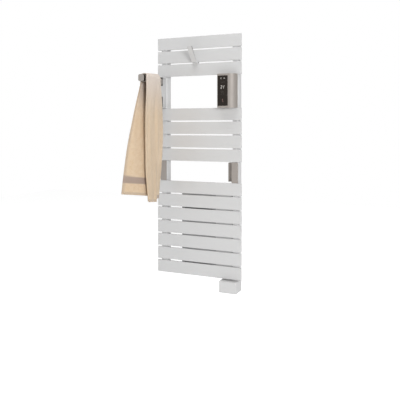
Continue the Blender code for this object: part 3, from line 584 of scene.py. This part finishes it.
# ---- slats and masts ----
def make_slats():
    for name in SLATS:
        low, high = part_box(name)
        block(name + "_tube", low, high, "white_paint", 0.0018, (name,))


def make_masts():
    """Square tubes, each with a round bore in its lower end."""
    for side in ("left", "right"):
        node = "mast_" + side
        low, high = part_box(node)
        # the masts wear the lighter copy of the white paint, as painted light
        mast = block(node + "_tube", low, high, "mast_white_painted_light", 0.0035, (node,), segments=5)
        middle = (low + high) / 2
        cut_bore(mast, (middle.x, middle.y, low.z), radius=0.0097, depth=0.024)


def make_plugs():
    low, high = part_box("filler_plug")
    middle = (low + high) / 2
    radius = (high.x - low.x) / 2
    top = high.z
    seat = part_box("mast_right")[1].z + GAP
    profile = [
        (0.0, top - 0.0030), (0.0028, top - 0.0030), (0.0028, top - 0.0004), (0.0032, top),
        (radius * 0.50, top), (radius * 0.60, top - 0.0008),
        (radius - 0.0012, top - 0.0012), (radius, top - 0.0024), (radius, seat),
        (0.0060, seat), (0.0060, seat - 0.007), (0.0, seat - 0.007),
    ]
    lathe("filler_plug_fine", profile, (middle.x, middle.y, 0.0), UP, "white_paint", "filler_plug")
    low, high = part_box("drain_plug")
    middle = (low + high) / 2
    radius = (high.x - low.x) / 2
    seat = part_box("mast_left")[0].z - GAP
    profile = [
        (0.0, high.z), (0.0092, high.z), (0.0092, seat), (radius, seat),
        (radius, low.z + 0.0014), (radius - 0.0012, low.z + 0.0002), (0.0046, low.z),
        (0.0042, low.z + 0.0003), (0.0042, low.z + 0.0030), (0.0, low.z + 0.0030),
    ]
    lathe("drain_plug_fine", profile, (middle.x, middle.y, 0.0), UP, "white_paint", "drain_plug")


# ---- connection box ----
def make_connection_box():
    """A moulded shell that is open at its back, and the parts behind it."""
    node = "connection_box_cover"
    low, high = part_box(node)
    cover = block("connection_box_shell", low, high, "white_paint", 0.0045, (node,), segments=6)
    wall = 0.0025
    bm = bmesh.new()
    add_block(bm, low + Vector((wall, wall, wall)), high + Vector((-wall, 0.01, -wall)))
    cut(cover, bm)
    refined("connection_box_base", "grey_plastic", 0.0006)
    refined("terminal_block", "grey_plastic", 0.0004)
    low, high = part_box("cable_gland")
    middle = (low + high) / 2
    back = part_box("connection_box_base")[1].y
    profile = [
        (0.0036, back + 0.0160), (0.0060, back + 0.0160), (0.0068, back + 0.0150),
        (0.0080, back + 0.0125), (0.0095, back + 0.0095), (0.0095, back + 0.0075),
        (0.0088, back + 0.0070), (0.0088, back + 0.0060), (0.0095, back + 0.0055),
        (0.0095, back + GAP), (0.0060, back + GAP), (0.0060, back - 0.0100),
        (0.0036, back - 0.0100),
    ]
    origin = (middle.x, 0.0, middle.z)
    lathe("cable_gland_fine", profile, origin, BACK, "dark_plastic", "cable_gland", closed=True)


# ---- touch control ----
CASE_LOW, CASE_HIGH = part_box("control_case")
GLASS_LOW, GLASS_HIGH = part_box("control_glass")
CASE_R = 0.044  # the case's round right side, seen from above
CASE_FRONT_R = 0.003
GLASS_SEAT = 0.0032  # depth of the case's recess for the glass
GLASS_R = 0.0022
MARK_ROOT = 0.0001  # a mark starts this far inside the glass
MARK_T = 0.00012  # and stands this far proud of it


def make_control():
    left, front = CASE_LOW.x, CASE_LOW.y
    back = CASE_HIGH.y
    centre = (CASE_HIGH.x - CASE_R, back)
    plan = [(left, back)] + arc((left + CASE_FRONT_R, front + CASE_FRONT_R), CASE_FRONT_R, 180, 270, 5)
    plan += arc(centre, CASE_R, 270, 360, 28)
    bm = bmesh.new()
    add_prism(bm, plan, CASE_LOW.z, CASE_HIGH.z, Matrix.Identity(4))
    case = finished_piece(
        "control_shell", bm, "taupe_paint", bevel=0.0016, segments=4, stands_for=("control_case",), sharp=50.0
    )
    recess = bmesh.new()
    add_block(
        recess,
        (GLASS_LOW.x - GAP, front - 0.01, GLASS_LOW.z - GAP),
        (GLASS_HIGH.x + GAP, front + GLASS_SEAT, GLASS_HIGH.z + GAP),
    )
    cut(case, recess)
    pane = bmesh.new()
    corners = (GLASS_LOW.x, GLASS_LOW.z), (GLASS_HIGH.x, GLASS_HIGH.z)
    outline = rounded_rectangle(*corners, GLASS_R, 6)
    add_prism(pane, outline, -GLASS_HIGH.y, -GLASS_LOW.y, facing())
    finished_piece("control_pane", pane, "black_glass", bevel=0.0005, stands_for=("control_glass",))
    refined("control_base", "taupe_paint", 0.0008)
    refined("display_board", "circuit_board", 0.0002)


def add_mark(bm, points):
    """A printed or lit mark on the front of the glass: a flat outline 0.12 mm proud."""
    front = -GLASS_LOW.y
    add_prism(bm, points, front - MARK_ROOT, front + MARK_T, facing())


def bar_mark(bm, x, z, wide, high):
    left, right = x - wide / 2, x + wide / 2
    bottom, top = z - high / 2, z + high / 2
    add_mark(bm, [(left, bottom), (right, bottom), (right, top), (left, top)])


def ring_mark(bm, x, z, radius, line, start=0.0, sweep=360.0):
    """A ring or part of one, as short four-sided pieces."""
    steps = 20
    outer = arc((x, z), radius, start, start + sweep, steps)
    inner = arc((x, z), radius - line, start, start + sweep, steps)
    for index in range(steps):
        add_mark(bm, [outer[index], outer[index + 1], inner[index + 1], inner[index]])


SEGMENTS = {"2": "abged", "1": "bc"}  # the lit segments of each figure


def digit_marks(bm, figure, x, z, wide, high, line):
    """A seven-segment figure."""
    places = {
        "a": (x, z + high / 2, wide, line),
        "g": (x, z, wide, line),
        "d": (x, z - high / 2, wide, line),
        "b": (x + wide / 2, z + high / 4, line, high / 2),
        "e": (x - wide / 2, z - high / 4, line, high / 2),
        "c": (x + wide / 2, z - high / 4, line, high / 2),
    }
    short = line * 0.4
    for letter in SEGMENTS[figure]:
        mark_x, mark_z, mark_wide, mark_high = places[letter]
        bar_mark(bm, mark_x, mark_z, max(mark_wide - short, line), max(mark_high - short, line))


def make_marks():
    """Generic signs on the glass: two icons, a temperature, a level row and touch keys."""
    x = (GLASS_LOW.x + GLASS_HIGH.x) / 2
    top = GLASS_HIGH.z
    bottom = GLASS_LOW.z
    bright = bmesh.new()
    icon_z = top - 0.0160
    ring_mark(bright, x - 0.0095, icon_z, 0.0034, 0.0010, 120.0, 300.0)
    bar_mark(bright, x - 0.0095, icon_z + 0.0026, 0.0010, 0.0036)
    ring_mark(bright, x + 0.0095, icon_z, 0.0034, 0.0010)
    figure_z = top - 0.0680
    for figure, place in (("2", x - 0.0068), ("1", x + 0.0028)):
        digit_marks(bright, figure, place, figure_z, 0.0070, 0.0165, 0.0019)
    ring_mark(bright, x + 0.0105, figure_z + 0.0072, 0.0018, 0.0007)
    finished_piece("display_figures", bright, "display_light")
    soft = bmesh.new()
    for step in range(5):
        bar_mark(soft, x - 0.0100 + 0.0050 * step, top - 0.0385, 0.0032, 0.0010)
    for row in range(3):
        for column in range(3):
            bar_mark(soft, x + (column - 1) * 0.0080, top - 0.092 - row * 0.0085, 0.0028, 0.0012)
    finished_piece("display_keys", soft, "display_dim")
    rose = bmesh.new()
    key_z = bottom + 0.031
    bar_mark(rose, x, key_z, 0.0012, 0.0200)
    bar_mark(rose, x - 0.0025, key_z + 0.0075, 0.0040, 0.0010)
    bar_mark(rose, x + 0.0025, key_z - 0.0075, 0.0040, 0.0010)
    finished_piece("display_slider", rose, "display_rose")


# ---- swivel arm ----
ARM_DIRECTION = math.radians(-82.0)
ALONG = Vector((math.cos(ARM_DIRECTION), math.sin(ARM_DIRECTION), 0.0))
ACROSS = Vector((-math.sin(ARM_DIRECTION), math.cos(ARM_DIRECTION), 0.0))  # towards the slats
BAR_LOW_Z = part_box("towel_bar")[0].z
BAR_HIGH_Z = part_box("towel_bar")[1].z
BAR_HALF = 0.016
BAR_R = 0.009
BAR_WALL = 0.002
BAR_START = 0.014
BAR_END = 0.2854
# a dark plastic collar between bar and cap, whose near-black colour also paints the shade of that recess
COLLAR = (0.2857, 0.3117)
COLLAR_INSET = 0.001
CAP_END = 0.320
HUB_R = 0.012
HUB_BORE_R = 0.0053
SPIGOT_END = 0.045


def arm_point(s, t, z):
    """A point from its place along the arm, across it towards the slats, and its height."""
    return Vector((PIVOT.x, PIVOT.y, 0.0)) + ALONG * s + ACROSS * t + Vector((0, 0, z))


def bar_section(inset, radius):
    """Outline of the bar's section, or one that lies inside it."""
    low = (-BAR_HALF + inset, BAR_LOW_Z + inset)
    high = (BAR_HALF - inset, BAR_HIGH_Z - inset)
    return rounded_rectangle(low, high, radius, 10)


def make_bar():
    """The bar's tube, the dark collar and the cap at its free end; the collar's near-black colour also paints the
    shade in the recess between bar and cap.
    """
    place = axes(arm_point(0, 0, 0), ACROSS, Vector(UP), ALONG)
    section = bar_section(0.0, BAR_R)
    bm = bmesh.new()
    add_prism(bm, section, BAR_START, BAR_END, place)
    bar = finished_piece("towel_bar_tube", bm, "taupe_paint", "swing_arm", 0.0, 2, ("towel_bar",))
    bore = bmesh.new()
    add_prism(bore, bar_section(BAR_WALL, 0.007), BAR_START - 0.01, BAR_END + 0.01, place)
    cut(bar, bore)
    ring = bmesh.new()
    add_prism(ring, bar_section(COLLAR_INSET, 0.008), *COLLAR, place)
    finished_piece(
        "bar_collar_fine", ring, "dark_plastic", "swing_arm", 0.0006, 2, ("bar_collar",), sharp=50.0
    )
    cap = bmesh.new()
    add_prism(cap, section, COLLAR[1] + GAP, CAP_END, place)
    finished_piece(
        "bar_end_cap_fine", cap, "taupe_paint", "swing_arm", 0.0022, 5, ("bar_end_cap",), sharp=50.0
    )


def make_pivot():
    """The turned pieces round the pin, and the spigot that joins hub and bar."""
    for node, look, radius, body in (
        ("swing_hub", "dark_plastic", HUB_R, "swing_arm"),
        ("swing_tube", "white_paint", HUB_R - 0.001, "swing_arm"),
        ("bearing_sleeve", "dark_plastic", HUB_R, "radiator"),
        ("bearing_washer", "dark_plastic", HUB_R, "radiator"),
    ):
        low, high = (corner.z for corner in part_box(node))
        edge = min(0.0008, (high - low) / 4)
        profile = [
            (HUB_BORE_R, high), (radius - edge, high),
            (radius - edge * 0.3, high - edge * 0.3), (radius, high - edge),
            (radius, low + edge), (radius - edge * 0.3, low + edge * 0.3),
            (radius - edge, low), (HUB_BORE_R, low),
        ]
        origin = (PIVOT.x, PIVOT.y, 0)
        lathe(node + "_fine", profile, origin, UP, look, node, body, closed=True)
    neck = bmesh.new()
    half = BAR_HALF - 0.0055
    outline = rounded_rectangle((-half, BAR_LOW_Z + 0.007), (half, BAR_HIGH_Z - 0.007), 0.004, 6)
    place = axes(arm_point(0, 0, 0), ACROSS, Vector(UP), ALONG)
    add_prism(neck, outline, HUB_R - 0.004, SPIGOT_END, place)
    finished_piece("hub_spigot", neck, "dark_plastic", "swing_arm", 0.0006, 2)


def make_hinge():
    """A plate on the mast with two lugs, and the pin through them."""
    low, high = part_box("hinge_bracket")
    plate_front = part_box("mast_left")[0].y - 0.0043
    block("hinge_plate", (low.x, plate_front, low.z), high, "white_paint", 0.0012, ("hinge_bracket",))
    nose = 0.013
    x, y = PIVOT.x, PIVOT.y
    bm = bmesh.new()
    outline = [(low.x, plate_front + 0.002), (high.x, plate_front + 0.002), (x + nose, y)]
    outline += arc((x, y), nose, 0, -180, 24)[1:]
    for bottom, top in ((low.z, low.z + 0.005), (high.z - 0.005, high.z)):
        add_prism(bm, outline, bottom, top, Matrix.Identity(4))
    finished_piece("hinge_lugs", bm, "white_paint", bevel=0.0008, segments=3, sharp=50.0)
    low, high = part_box("hinge_pin")
    head = 0.0085
    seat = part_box("hinge_bracket")[1].z + GAP
    profile = [
        (0.0, high.z), (head - 0.0012, high.z), (head - 0.0003, high.z - 0.0004),
        (head, high.z - 0.0010), (head, seat), (0.005, seat), (0.005, low.z + 0.0006),
        (0.0044, low.z), (0.0, low.z),
    ]
    lathe("hinge_pin_fine", profile, (x, y, 0), UP, "steel", "hinge_pin")


# ---- small fittings ----
RECEIVER_LIP = 0.003  # the cover reaches past the mast's inner edge by this and the gap
RECEIVER_INSET = 0.005  # web and socket stop this far from the cover's ends
WEB_T = 0.0030
WEB_BACK = -0.046
SOCKET_FRONT = -0.073
SOCKET_BACK = -0.047
SOCKET_MIDDLE = -0.0595
SOCKET_BORE_R = 0.008
SOCKET_BORE_DEPTH = 0.060


def make_receivers():
    """A cover on the front of each mast, with a web and a bored socket at its left side."""
    for side in ("left", "right"):
        node = "bar_receiver_" + side
        low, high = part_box(node)
        mast_low, mast_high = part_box("mast_" + side)
        inner = mast_low.x - GAP
        block(
            f"receiver_cover_{side}",
            (mast_low.x - RECEIVER_LIP - GAP, low.y, low.z),
            (mast_high.x, mast_low.y - GAP, high.z),
            "taupe_paint",
            0.0022,
            (node,),
            segments=5,
        )
        bottom, top = low.z + RECEIVER_INSET, high.z - RECEIVER_INSET
        web = bmesh.new()
        add_block(web, (inner - WEB_T, low.y + 0.004, bottom), (inner, WEB_BACK, top))
        finished_piece(f"receiver_web_{side}", web, "taupe_paint", bevel=0.0012)
        bm = bmesh.new()
        plan = rounded_rectangle((low.x, SOCKET_FRONT), (inner - 0.001, SOCKET_BACK), 0.004, 8)
        add_prism(bm, plan, bottom, top, Matrix.Identity(4))
        socket = finished_piece(f"receiver_socket_{side}", bm, "taupe_paint", bevel=0.0010, sharp=50.0)
        middle_x = (low.x + inner) / 2 - 0.0015
        cut_bore(socket, (middle_x, SOCKET_MIDDLE, top), SOCKET_BORE_R, SOCKET_BORE_DEPTH, steps=40)


HOOK_W = 0.030
HOOK_T = 0.0045
HOOK_KNEE_R = 0.010
HOOK_BEND = 219.0  # the knee runs from 270 degrees to this
HOOK_RISE = 0.104  # length of the straight part
HOOK_ROOT_UP = 0.004  # upper face of the tongue's root, above the middle of the gap
CLIP_HALF = HOOK_W / 2 + 0.003
CLIP_T = 0.0038  # half the height of the tail in the gap
SLAT_T = 0.0100


def make_hook():
    """A straight tongue that leaves its clip in the gap between two slats and slopes out and up."""
    low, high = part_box("coat_hook")
    middle_x = (low.x + high.x) / 2
    root_z = (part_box("slat_02")[0].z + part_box("slat_03")[1].z) / 2
    half = HOOK_W / 2
    root = -0.003
    centre = (-0.012, HOOK_ROOT_UP + HOOK_KNEE_R)
    inner = arc(centre, HOOK_KNEE_R, 270, HOOK_BEND, 16)
    outer = arc(centre, HOOK_KNEE_R + HOOK_T, HOOK_BEND, 270, 16)
    heading = math.radians(HOOK_BEND - 90)
    reach = Vector((math.cos(heading), math.sin(heading))) * HOOK_RISE
    tip_in = Vector(inner[-1]) + reach
    tip_out = Vector(outer[0]) + reach
    tip = arc((tip_in + tip_out) / 2, HOOK_T / 2, HOOK_BEND, HOOK_BEND - 180, 8)[1:-1]
    points = [(root, HOOK_ROOT_UP)] + inner + [tuple(tip_in)] + tip
    points += [tuple(tip_out)] + outer + [(root, HOOK_ROOT_UP - HOOK_T)]
    bm = bmesh.new()
    origin = Vector((middle_x, FRONT, root_z))
    add_prism(bm, points, -half, half, axes(origin, (0, 1, 0), (0, 0, 1), (1, 0, 0)))
    finished_piece(
        "coat_hook_tongue",
        bm,
        "white_paint",
        bevel=0.0014,
        segments=4,
        stands_for=("coat_hook",),
        sharp=50.0,
    )
    left, right = middle_x - CLIP_HALF, middle_x + CLIP_HALF
    plate = bmesh.new()
    outline = rounded_rectangle((left, root_z - 0.013), (right, root_z + 0.020), 0.006, 8)
    add_prism(plate, outline, -FRONT + GAP, -FRONT + 0.0055, facing())
    finished_piece("coat_hook_plate", plate, "white_paint", bevel=0.0014, segments=4, sharp=50.0)
    back = FRONT + SLAT_T
    tail = bmesh.new()
    add_block(tail, (left, FRONT - 0.002, root_z - CLIP_T), (right, back + 0.004, root_z + CLIP_T))
    finished_piece("coat_hook_tail", tail, "white_paint", bevel=0.0006)
    catch = bmesh.new()
    add_block(catch, (left, back + GAP, root_z - 0.010), (right, back + 0.004, root_z + 0.010))
    finished_piece("coat_hook_catch", catch, "white_paint", bevel=0.0010)


def make_wall_fixing():
    refined("wall_rail", "steel", 0.0006)
    for number in range(1, 5):
        node = f"rail_screw_{number}"
        low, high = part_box(node)
        middle = (low + high) / 2
        head = low.y
        shank = 0.0026
        seat = high.y - 0.0028
        socket = head + 0.0018
        profile = [
            (0.0, high.y), (shank, high.y), (shank, seat), (0.0060, seat),
            (0.0058, seat - 0.0012), (0.0046, head + 0.0004), (0.0036, head),
            (0.0026, head), (0.0022, socket), (0.0, socket),
        ]
        lathe(node + "_fine", profile, (middle.x, 0, middle.z), BACK, "steel", node)
    for side in ("left", "right"):
        refined("upper_bracket_" + side, "white_paint", 0.0008)
        node = "lower_standoff_" + side
        low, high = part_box(node)
        middle = (low + high) / 2
        mast_back = low.y
        foot = (high.x - low.x) / 2
        neck = foot - 0.0040
        collar = foot - 0.0015
        profile = [
            (0.0, 0.0), (foot - 0.0005, 0.0), (foot, -0.0006), (foot, -0.0048),
            (foot - 0.0012, -0.0066), (neck + 0.0008, -0.0082), (neck, -0.0100),
            (neck, -0.0330), (neck + 0.0008, -0.0348), (collar - 0.0003, -0.0360),
            (collar, -0.0368), (collar, mast_back), (0.0, mast_back),
        ]
        origin = (middle.x, 0, middle.z)
        lathe(f"standoff_{side}_fine", profile, origin, BACK, "white_paint", node)


def make_fan_heater():
    refined("blower_housing", "white_paint", 0.0012)
    refined("outlet_grille", "grey_plastic", 0.0007)
    refined("electronics_cover", "white_paint", 0.0006)
    refined("air_filter", "filter_plastic", 0.0005, "filter")
    refined("fan_heating_cassette", "aluminium", 0.0004)
    refined("power_board", "circuit_board", 0.0003)
    refined("fan_rotor", "dark_plastic", 0.0002, "fan_wheel", 1)


# ---- towel ----
TOWEL_FLAT = (0.70, 1.40)  # a bath towel, folded in three lengthwise before it was hung
TOWEL_S = (0.070, 0.286)  # its far and near edge on the bar's slat side, from the pivot
CROWN_SLANT = 0.013  # the near edge runs back this far to the middle of the bar's top
FREE_SLANT = 0.016  # and this much further to the free side
LAYER = 0.0030  # one of the three layers, with its air
CLOTH_T = 0.0024
CLOTH_LIFT = 0.0008  # the inner layer's underside clears the bar by this
SADDLE_R = 0.009  # the towel's turn over the bar's long edges
SADDLE_Z = BAR_HIGH_Z + CLOTH_LIFT - SADDLE_R
FLANK = BAR_HALF + CLOTH_LIFT
CROWN_STEPS = 12  # rows from the middle of the bar's top to its flank,
CROWN_FLAT = 4  # and how many of them lie on the flat top
FREE_ROWS = 110
SLAT_ROWS = 118
PUFF = 0.0125  # how much higher the far end of the towel stands on the bar
CLOSE_UP = 0.24  # the two halves close up over this height below the bar
FREE_FOOT_S = (0.068, 0.380)
FREE_FOOT_Z = -0.847
FREE_FOOT_RISE = 0.047  # how much higher the fanned corner ends
FREE_FOOT_T = 0.0876  # how far the fanned corner stands off to the side
FREE_OPEN = 0.20  # how much further apart the layers are at the foot
FREE_FOLD = 0.0050  # height of the folds
PACKET_FOOT_S = 0.255  # near edge of the two outer layers at the free foot
HINGE_S = 0.232  # the inner layer bends away from here
CLOSED_T = -0.003  # the free half hangs this far past the bar's middle line
SLAT_FOOT_S = (0.100, 0.266)
SLAT_FOOT_Z = -0.849
SLAT_CLOSED_T = 0.010  # the slat half hangs this far from the bar's middle line
SLAT_OPEN = 0.10
SLAT_FOLD = 0.0042
SLAT_BULGE = 0.010  # how far its far edge stands out half way down
SLAT_SPREAD = 0.048  # and how much further along the arm it reaches there
OUTER_FAR_S = 0.160  # far edge of the slat side's outer layer
RIDGE_S = 0.150  # from here the slat side turns away toward its far edge,
TURN = 0.04  # with this slope,
TURN_SOFT = 0.012  # which sets in over this length
STRIPE = (0.062, 0.104)  # woven stripe, distance from the free end
HEM = 0.016  # width of the hem at both ends
SIDE_HEM = 0.007
WOVEN_EDGE = 0.002  # stripe and hem fade in over this
HEM_SHADOW_BAND = (0.002, 0.020)  # painted hem shadow: a grey band at the far corner of the slat side's inner layers
HEM_SHADOW_BAND_ACROSS = 0.42  # the share of the width that it takes
PAINTED_HIGHLIGHT_REACH = 0.30  # the painted highlight reaches this far from the bar


def smoothstep(value):
    value = np.clip(value, 0.0, 1.0)
    return value * value * (3.0 - 2.0 * value)


def packet_columns():
    """Share across (0 far, 1 near) and layer (0 inner, 2 outer) of each column of the folded towel."""
    across = []
    level = []
    per_layer = 40
    fold_steps = 5
    fold_reach = 0.016
    for layer in range(3):
        near_to_far = layer != 1
        for step in range(per_layer + 1):
            share = step / per_layer
            across.append(1.0 - share if near_to_far else share)
            level.append(float(layer))
        if layer < 2:
            edge, outward = (0.0, -1.0) if near_to_far else (1.0, 1.0)
            for step in range(1, fold_steps):
                angle = math.pi * step / fold_steps
                across.append(edge + outward * fold_reach * math.sin(angle))
                level.append(layer + (1.0 - math.cos(angle)) / 2)
    return np.array(across), np.array(level)


def folds(s, z, phase):
    """Soft upright folds that wander a little with height, about -1 to 1."""
    first = np.sin(math.tau * (s / 0.100 + 0.55 * z + phase))
    second = np.sin(math.tau * (s / 0.056 - 0.80 * z + 2.3 * phase))
    third = np.sin(math.tau * (s / 0.031 + 1.70 * z + 0.7 * phase))
    return 0.62 * first + 0.28 * second + 0.10 * third


def near_edge(sign, round_share):
    """Near edge of the towel on the bar, which runs obliquely over it from the slat side."""
    if sign > 0:
        return TOWEL_S[1] - CROWN_SLANT * (1.0 - round_share)
    return TOWEL_S[1] - CROWN_SLANT - FREE_SLANT * round_share


def puff(across):
    """Extra loft of the towel on the bar, from its near to its rounded far end."""
    return PUFF * np.clip(1.0 - across, 0.0, 1.0) * smoothstep((across + 0.01) / 0.14)


def crown_rows(across, level, sign):
    """Rows from the middle of the bar's top round its edge, as (s, side, z)."""
    offset = (level + 0.5) * LAYER
    centre = FLANK - SADDLE_R
    rows = []
    for step in range(CROWN_STEPS):
        s = TOWEL_S[0] + (near_edge(sign, step / CROWN_STEPS) - TOWEL_S[0]) * across
        radius = SADDLE_R + offset + 0.0006 * (1.0 + folds(s, 0.0, 0.2))
        angle = math.pi / 2 * max(0, step - CROWN_FLAT) / (CROWN_STEPS - CROWN_FLAT)
        side = centre * min(step, CROWN_FLAT) / CROWN_FLAT + radius * math.sin(angle)
        lofted = SADDLE_Z + radius * math.cos(angle) + puff(across) * math.cos(angle) ** 0.5
        rows.append((s, sign * (side + 0.3 * puff(across) * math.sin(angle)), lofted))
    return rows


def slat_leg_rows(across, level):
    """Rows down the slat side: the outer layer is narrower than the two under it."""
    s_top = TOWEL_S[0] + (near_edge(1, 1.0) - TOWEL_S[0]) * across
    outer = np.clip(level - 1.0, 0.0, 1.0)
    far = SLAT_FOOT_S[0] + (OUTER_FAR_S - SLAT_FOOT_S[0]) * outer
    from_far = 1.0 - np.clip(across, 0.0, 1.0)
    s_foot = far + (SLAT_FOOT_S[1] - far) * across
    foot_z = SLAT_FOOT_Z - outer * (0.004 + 0.012 * from_far)
    rows = []
    for step in range(SLAT_ROWS + 1):
        share = step / SLAT_ROWS
        z = SADDLE_Z + (foot_z - SADDLE_Z) * share
        s = s_top + (s_foot - s_top) * (from_far * share + (1.0 - from_far) * share ** 2.5)
        middle = from_far * math.sin(math.pi * share ** 0.95) * (1.0 - outer)
        s = s - SLAT_SPREAD * middle
        depth = smoothstep((SADDLE_Z - z) / 0.16)
        on_flank = 1.0 - smoothstep((BAR_LOW_Z - z) / CLOSE_UP)
        side = SLAT_CLOSED_T + (FLANK - SLAT_CLOSED_T) * on_flank
        side += 0.008 * smoothstep((share - 0.70) / 0.30)
        layers = (level + 0.5) * LAYER * (1.0 + SLAT_OPEN * share)
        side += layers + 0.006 * from_far * depth + SLAT_BULGE * middle
        side += 0.8 * puff(across) * (1.0 - smoothstep(share / 0.20))
        turned = TURN * depth * np.logaddexp(0.0, (RIDGE_S - s) / TURN_SOFT) * TURN_SOFT
        rows.append((s, side - turned + SLAT_FOLD * depth * folds(s, z, 0.31), z))
    return rows


def free_leg_rows(across, level):
    """Rows down the free side: it closes up to the other half, and its inner layer fans out."""
    s_top = TOWEL_S[0] + (near_edge(-1, 1.0) - TOWEL_S[0]) * across
    fanned = np.clip(1.0 - level, 0.0, 1.0)
    near = PACKET_FOOT_S + (FREE_FOOT_S[1] - PACKET_FOOT_S) * fanned
    s_foot = FREE_FOOT_S[0] + (near - FREE_FOOT_S[0]) * across
    fan = (s_foot - FREE_FOOT_S[0]) / (FREE_FOOT_S[1] - FREE_FOOT_S[0])
    foot_z = FREE_FOOT_Z + FREE_FOOT_RISE * fan + 0.003 * level
    rows = []
    for step in range(FREE_ROWS + 1):
        share = step / FREE_ROWS
        spread = share + 0.13 * math.sin(math.pi * share ** 1.15)
        z = SADDLE_Z + (foot_z - SADDLE_Z) * share
        s = s_top + (s_foot - s_top) * spread
        on_flank = 1.0 - smoothstep((BAR_LOW_Z - z) / CLOSE_UP)
        closed = CLOSED_T + (FLANK - CLOSED_T) * on_flank
        near_s = near_edge(-1, 1.0) + (FREE_FOOT_S[1] - near_edge(-1, 1.0)) * spread
        swing = FLANK + (FREE_FOOT_T - FLANK) * spread - closed
        bend = np.clip((s - HINGE_S) / (near_s - HINGE_S), 0.0, 1.2) ** 1.25
        side = closed + (level + 0.5) * LAYER * (1.0 + FREE_OPEN * share) + swing * bend
        depth = smoothstep((BAR_LOW_Z - 0.03 - z) / 0.30)
        calm = 1.0 - 0.6 * smoothstep(bend)
        rows.append((s, -(side + FREE_FOLD * depth * calm * folds(s, z, 0.74)), z))
    return rows


def woven_band(distance, band):
    """1 inside a band across the cloth, fading out at its two edges."""
    return smoothstep((distance - band[0]) / WOVEN_EDGE) * smoothstep((band[1] - distance) / WOVEN_EDGE)


def paint_cloth(mesh, level, across, grid, crown_row):
    """Writes the cloth's own coordinates, its woven zones, the painted hem shadow and the painted highlight near
    the bar, and returns where it is flat woven, together with the painted hem shadow.
    """
    steps = np.linalg.norm(np.diff(grid, axis=0), axis=2)
    from_free_end = np.concatenate([np.zeros((1, grid.shape[1])), np.cumsum(steps, axis=0)])
    from_slat_end = from_free_end[-1] - from_free_end
    from_end = np.minimum(from_free_end, from_slat_end)
    widths = np.linalg.norm(np.diff(grid[crown_row], axis=0), axis=1)
    crosswise = np.concatenate([[0.0], np.cumsum(widths)])
    crosswise *= TOWEL_FLAT[0] / crosswise[-1]
    weave = mesh.attributes.new("weave", "FLOAT_VECTOR", "POINT")
    wide = np.broadcast_to(crosswise, grid.shape[:2])
    places = np.stack([wide, from_free_end, np.zeros(grid.shape[:2])], axis=2)
    weave.data.foreach_set("vector", places.astype(np.float32).ravel())
    stripe = woven_band(from_free_end, STRIPE)
    hem_shadow = woven_band(from_slat_end, HEM_SHADOW_BAND)
    # the painted hem shadow goes into the stripe attribute and takes the stripe's grey
    stripe += hem_shadow * ((level < 1.5) & (across < HEM_SHADOW_BAND_ACROSS))[None, :]
    edge = np.minimum(crosswise, TOWEL_FLAT[0] - crosswise)
    inside = smoothstep((from_end - HEM) / WOVEN_EDGE) * smoothstep((edge - SIDE_HEM) / WOVEN_EDGE)[None, :]
    hem = 1.0 - inside
    # painted highlight: strongest where the cloth lies on the bar, fading along it
    crown_highlight = 1.0 - smoothstep(np.abs(from_free_end - from_free_end[crown_row]) / PAINTED_HIGHLIGHT_REACH)
    for name, values in (("stripe", stripe), ("hem", hem), ("crown_highlight", crown_highlight)):
        layer = mesh.attributes.new(name, "FLOAT", "POINT")
        layer.data.foreach_set("value", np.ascontiguousarray(values, dtype=np.float32).ravel())
    return np.clip(stripe + hem, 0.0, 1.0).ravel()


def make_towel():
    """The towel over the bar, folded in three lengthwise, with the free side's inner layer fanned out."""
    across, level = packet_columns()
    free = crown_rows(across, level, -1) + free_leg_rows(across, level)
    slat = crown_rows(across, level, 1)[1:] + slat_leg_rows(across, level)
    rows = list(reversed(free)) + slat
    grid = np.array([np.stack(row, axis=1) for row in rows])
    count_rows, count_columns = grid.shape[:2]
    bm = bmesh.new()
    verts = [bm.verts.new(arm_point(*point)) for point in grid.reshape(-1, 3)]
    for row in range(count_rows - 1):
        for column in range(count_columns - 1):
            first = row * count_columns + column
            below = first + count_columns
            bm.faces.new((verts[first], verts[first + 1], verts[below + 1], verts[below]))
    mesh = mesh_from("towel_cloth", bm)
    towel = add_to_scene("towel_cloth", mesh)
    mesh.materials.append(LOOKS["towel_cloth"])
    mesh.shade_smooth()
    # flat woven zones and the painted hem shadow, where the pile is thinner
    flat_weave_and_hem_shadow = paint_cloth(mesh, level, across, grid, len(free))
    pile = towel.vertex_groups.new(name="pile")
    for index, value in enumerate(flat_weave_and_hem_shadow):
        pile.add([index], 1.0 - 0.45 * float(value), "REPLACE")
    body = towel.modifiers.new("cloth_thickness", "SOLIDIFY")
    body.thickness = CLOTH_T
    body.offset = 0.0
    body.vertex_group = "pile"
    body.thickness_vertex_group = 0.1
    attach(towel, "swing_arm")
    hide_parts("towel")


make_camera()
make_lights()
make_world()
make_floor()
wear_cad_nodes()
make_towel()
make_slats()
make_masts()
make_plugs()
make_connection_box()
make_control()
make_marks()
make_bar()
make_pivot()
make_hinge()
make_receivers()
make_hook()
make_wall_fixing()
make_fan_heater()
